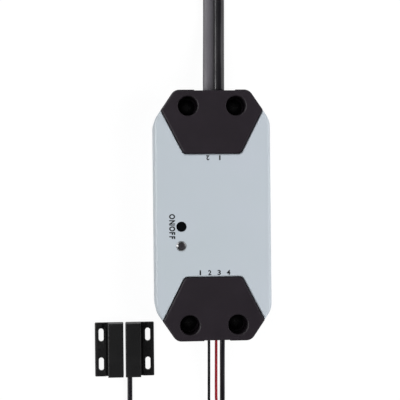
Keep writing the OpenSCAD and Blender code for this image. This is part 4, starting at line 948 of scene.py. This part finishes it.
class CONTROLLER_OT_board(bpy.types.Operator):
    """Finishes the board, its parts and the wires inside the case"""

    bl_idname = "controller.board"
    bl_label = "Board"

    def execute(self, context):
        mask = Finish("solder_mask", 0.28)
        mask.paint(mask.mottled((0.012, 0.085, 0.030), 0.25, 140.0, other=(0.02, 0.12, 0.045)))
        mask.bump(mask.noise(scale=700.0), depth=0.01 * MM)
        dress("circuit_board", mask.material, edge=0.05 * MM)
        steel = drawn_metal("bright_steel", (0.60, 0.60, 0.62), 0.30)
        for node in ("board_screws", "terminal_screws", "radio_shield", "reed_leads"):
            dress(node, steel, edge=0.05 * MM)
        green = moulded("terminal_plastic", (0.018, 0.16, 0.055), 0.42, 0.01 * MM)
        for node in ("input_terminal", "output_terminal"):
            dress(node, green, edge=0.12 * MM)
        ferrite = moulded("ferrite", (0.022, 0.021, 0.021), 0.7, 0.02 * MM, grain_scale=1600.0, amount=0.2)
        dress("transformer_core", ferrite, edge=0.15 * MM)
        tape = moulded("bobbin_tape", (0.50, 0.34, 0.05), 0.35, 0.015 * MM, grain_scale=800.0)
        dress("transformer_bobbin", tape, edge=0.12 * MM)
        dress("relay", moulded("relay_case", (0.010, 0.045, 0.22), 0.30, 0.005 * MM), edge=0.15 * MM)
        dress("capacitors", moulded("can_sleeve", (0.012, 0.015, 0.045), 0.25, 0.004 * MM), edge=0.08 * MM)
        epoxy = moulded("part_epoxy", (0.012, 0.012, 0.012), 0.6, 0.015 * MM)
        dress("bridge_rectifier", epoxy, edge=0.08 * MM)
        dress("fuse", moulded("fuse_case", (0.09, 0.035, 0.015), 0.35, 0.006 * MM), edge=0.15 * MM)
        dress("varistor", moulded("varistor_dip", (0.02, 0.07, 0.30), 0.35, 0.02 * MM, grain_scale=500.0))
        dress("radio_module", moulded("radio_mask", (0.006, 0.022, 0.06), 0.28, 0.006 * MM), edge=0.04 * MM)
        leads = lead_settings()
        dress("input_tail", jacket("mains_tail", leads.mains, 0.36))
        dress("input_cores", jacket("core_brown", (0.10, 0.04, 0.02), 0.38))
        dress("output_tails", jacket("tail_black", leads.cable, 0.38))
        dress("sensor_cores", jacket("core_white", (0.6, 0.6, 0.58), 0.38))
        return {"FINISHED"}


# Door sensor, plug and ties


class CONTROLLER_OT_door_sensor(bpy.types.Operator):
    """Finishes both halves of the door sensor"""

    bl_idname = "controller.door_sensor"
    bl_label = "Door sensor"

    def execute(self, context):
        black = moulded(
            "sensor_plastic", (0.0060, 0.0060, 0.0062), 0.52, 0.016 * MM,
            grain_scale=2400.0, amount=0.12, specular=0.26,
        )
        for node in ("reed_housing", "magnet_housing", "reed_backing", "magnet_backing"):
            dress(node, black, edge=0.08 * MM)
        dress("reed_capsule", glass("reed_glass", (0.75, 0.9, 0.85)))
        dress("bar_magnet", drawn_metal("nickel", (0.55, 0.53, 0.50), 0.25), edge=0.15 * MM)
        dress("sensor_tail", jacket("sensor_tail_jacket", lead_settings().cable, 0.38))
        return {"FINISHED"}


class CONTROLLER_OT_plug(bpy.types.Operator):
    """Finishes the plug, the bare wire tips and the ties of the thin cords"""

    bl_idname = "controller.plug"
    bl_label = "Plug and ties"

    def execute(self, context):
        rubber = moulded(
            "plug_rubber", (0.012, 0.0115, 0.013), 0.5, 0.02 * MM,
            grain_scale=1500.0, amount=0.1, specular=0.4,
        )
        dress("plug_body", rubber, edge=0.5 * MM, segments=3)
        dress("plug_relief", rubber, edge=0.3 * MM, segments=3)
        dress("plug_blades", drawn_metal("blade_brass", (0.72, 0.58, 0.28), 0.28), edge=0.15 * MM)
        dress("wire_tips", drawn_metal("tinned_copper", (0.62, 0.36, 0.20), 0.35))
        for node in ("sensor_tie", "wire_tie"):
            dress(node, tie_nylon(), TIE_EDGE * MM)
        return {"FINISHED"}


# Stage

# Width of the square picture in pixels, and of the camera's sensor in millimetres
IMAGE_PX = 400
SENSOR_MM = 36.0
# Softboxes that light the object but don't show in its gloss: place and size in metres
LAMPS = (
    ("key_lamp", (0.45, -0.10, 0.50), 0.50),
    ("fill_lamp", (-0.35, 0.10, 0.62), 0.50),
)
# Cards that only gloss shows
CARDS = (
    ("left_card", (-0.60, 0.03, 0.30), 0.36),
    ("right_card", (0.60, 0.08, 0.28), 0.34),
    ("far_left_card", (-0.57, 0.42, 0.23), 0.40),
    ("far_right_card", (0.57, 0.42, 0.27), 0.38),
)
# Point that the lamps look at
LAMP_AIM = Vector((0.0, 0.0, 0.02))
WHITE = (1.0, 1.0, 1.0, 1.0)
# How far the floor reaches, how far it lies under the object, and the strength and share of its own white
FLOOR_REACH = 1.5
FLOOR_DROP = 0.05 * MM
FLOOR_WHITE = 1.06
FLOOR_SHARE = 0.86
# Heights between which the light goes from the horizon's to the zenith's, and gloss stops seeing white
ROOM_RANGE = (0.25, 0.85)
GLOSS_RANGE = (0.08, 0.35)


class CONTROLLER_OT_camera(bpy.types.Operator):
    """Adds the camera"""

    bl_idname = "controller.camera"
    bl_label = "Camera"

    def execute(self, context):
        stage = stage_settings()
        data = bpy.data.cameras.new("camera")
        data.sensor_fit = "HORIZONTAL"
        data.sensor_width = SENSOR_MM
        data.lens = SENSOR_MM * stage.focal_px / IMAGE_PX
        data.clip_start = 1.0 * MM
        camera = bpy.data.objects.new("camera", data)
        camera.location = stage.camera_place
        camera.rotation_euler = stage.camera_turn
        context.scene.collection.objects.link(camera)
        context.scene.camera = camera
        return {"FINISHED"}


def soft_lamp(name, place, size, power):
    """A square softbox that looks at the middle of the case."""
    data = bpy.data.lights.new(name, "AREA")
    data.shape = "SQUARE"
    data.size = size
    data.energy = power
    lamp = bpy.data.objects.new(name, data)
    lamp.location = place
    lamp.rotation_euler = (LAMP_AIM - Vector(place)).to_track_quat("-Z", "Y").to_euler()
    bpy.context.scene.collection.objects.link(lamp)
    return lamp


def seen_rays(tree, reach=1.0):
    """A factor that is one for rays from the eye, and a given reach for those from gloss or through glass."""
    path = tree.nodes.new("ShaderNodeLightPath").outputs
    mirrored = joined(tree, "MAXIMUM", path["Is Glossy Ray"], path["Is Transmission Ray"])
    return joined(tree, "MAXIMUM", path["Is Camera Ray"], joined(tree, "MULTIPLY", mirrored, reach))


def blended(tree, factor, one, two, output):
    """Sends a blend of two shaders to a tree's output."""
    blend = tree.nodes.new("ShaderNodeMixShader")
    for socket, value in zip(blend.inputs, (factor, one.outputs[0], two.outputs[0])):
        tree.links.new(value, socket)
    tree.links.new(blend.outputs[0], tree.nodes.new(output).inputs["Surface"])


class CONTROLLER_OT_stage(bpy.types.Operator):
    """Adds the floor, the lamps and the surrounding light"""

    bl_idname = "controller.stage"
    bl_label = "Stage"

    def execute(self, context):
        stage = stage_settings()
        shape = bmesh.new()
        bmesh.ops.create_grid(shape, x_segments=1, y_segments=1, size=FLOOR_REACH)
        floor = bpy.data.objects.new("floor", as_mesh("floor", shape))
        floor.location = (0.0, 0.0, -FLOOR_DROP)
        context.scene.collection.objects.link(floor)
        floor.data.materials.append(self.floor_finish(stage))
        for name, place, size in LAMPS:
            soft_lamp(name, place, size, getattr(stage, name)).visible_glossy = False
        for name, place, size in CARDS:
            soft_lamp(name, place, size, getattr(stage, name)).visible_diffuse = False
        self.surround(context, stage)
        context.scene.view_settings.view_transform = "Standard"
        return {"FINISHED"}

    @staticmethod
    def floor_finish(stage):
        """Pale paper that the eye and gloss see as almost white, with the object's shadow."""
        material = bpy.data.materials.new("floor_paper")
        material.use_nodes = True
        tree = material.node_tree
        tree.nodes.clear()
        paper = tree.nodes.new("ShaderNodeBsdfDiffuse")
        paper.inputs["Color"].default_value = opaque(stage.floor)
        white = tree.nodes.new("ShaderNodeEmission")
        white.inputs["Color"].default_value = WHITE
        white.inputs["Strength"].default_value = FLOOR_WHITE
        share = joined(tree, "MULTIPLY", seen_rays(tree), FLOOR_SHARE)
        blended(tree, share, paper, white, "ShaderNodeOutputMaterial")
        return material

    @staticmethod
    def surround(context, stage):
        """Soft light from all round, in front of a backdrop that the eye sees as white."""
        world = bpy.data.worlds.new("surround")
        context.scene.world = world
        world.use_nodes = True
        tree = world.node_tree
        tree.nodes.clear()
        split = tree.nodes.new("ShaderNodeSeparateXYZ")
        tree.links.new(tree.nodes.new("ShaderNodeTexCoord").outputs["Generated"], split.inputs[0])
        height = split.outputs["Z"]
        room = tree.nodes.new("ShaderNodeBackground")
        room.inputs["Color"].default_value = WHITE
        strength = ramp(tree, height, ROOM_RANGE, (stage.horizon, stage.zenith))
        tree.links.new(strength, room.inputs["Strength"])
        white = tree.nodes.new("ShaderNodeBackground")
        white.inputs["Color"].default_value = WHITE
        gloss = ramp(tree, height, GLOSS_RANGE, (1.0, 0.0))
        blended(tree, seen_rays(tree, gloss), room, white, "ShaderNodeOutputWorld")


# Add-on

STEPS = (
    CONTROLLER_OT_camera,
    CONTROLLER_OT_mains_lead,
    CONTROLLER_OT_sensor_cable,
    CONTROLLER_OT_contact_wires,
    CONTROLLER_OT_case,
    CONTROLLER_OT_controls,
    CONTROLLER_OT_marks,
    CONTROLLER_OT_board,
    CONTROLLER_OT_door_sensor,
    CONTROLLER_OT_plug,
    CONTROLLER_OT_stage,
)


class CONTROLLER_PT_panel(bpy.types.Panel):
    """Lists the pieces and their settings in the sidebar"""

    bl_idname = "CONTROLLER_PT_panel"
    bl_label = "Garage door controller"
    bl_space_type = "VIEW_3D"
    bl_region_type = "UI"
    bl_category = "Controller"

    def draw(self, context):
        for step in STEPS:
            self.layout.operator(step.bl_idname)
        for group in (case_settings(), lead_settings(), stage_settings()):
            box = self.layout.box()
            for key in group.__annotations__:
                box.prop(group, key)


GROUPS = (
    ("controller_case", ControllerCase),
    ("controller_leads", ControllerLeads),
    ("controller_stage", ControllerStage),
)


def register():
    """Registers the settings, the operators and the panel."""
    for key, group in GROUPS:
        bpy.utils.register_class(group)
        setattr(bpy.types.Scene, key, bpy.props.PointerProperty(type=group))
    for step in STEPS + (CONTROLLER_PT_panel,):
        bpy.utils.register_class(step)


def unregister():
    """Takes out what register put in."""
    for step in reversed(STEPS + (CONTROLLER_PT_panel,)):
        bpy.utils.unregister_class(step)
    for key, group in reversed(GROUPS):
        delattr(bpy.types.Scene, key)
        bpy.utils.unregister_class(group)


def main():
    """Registers the classes and makes every piece in order."""
    register()
    for step in STEPS:
        category, name = step.bl_idname.split(".")
        getattr(getattr(bpy.ops, category), name)()


if __name__ == "__main__":
    main()
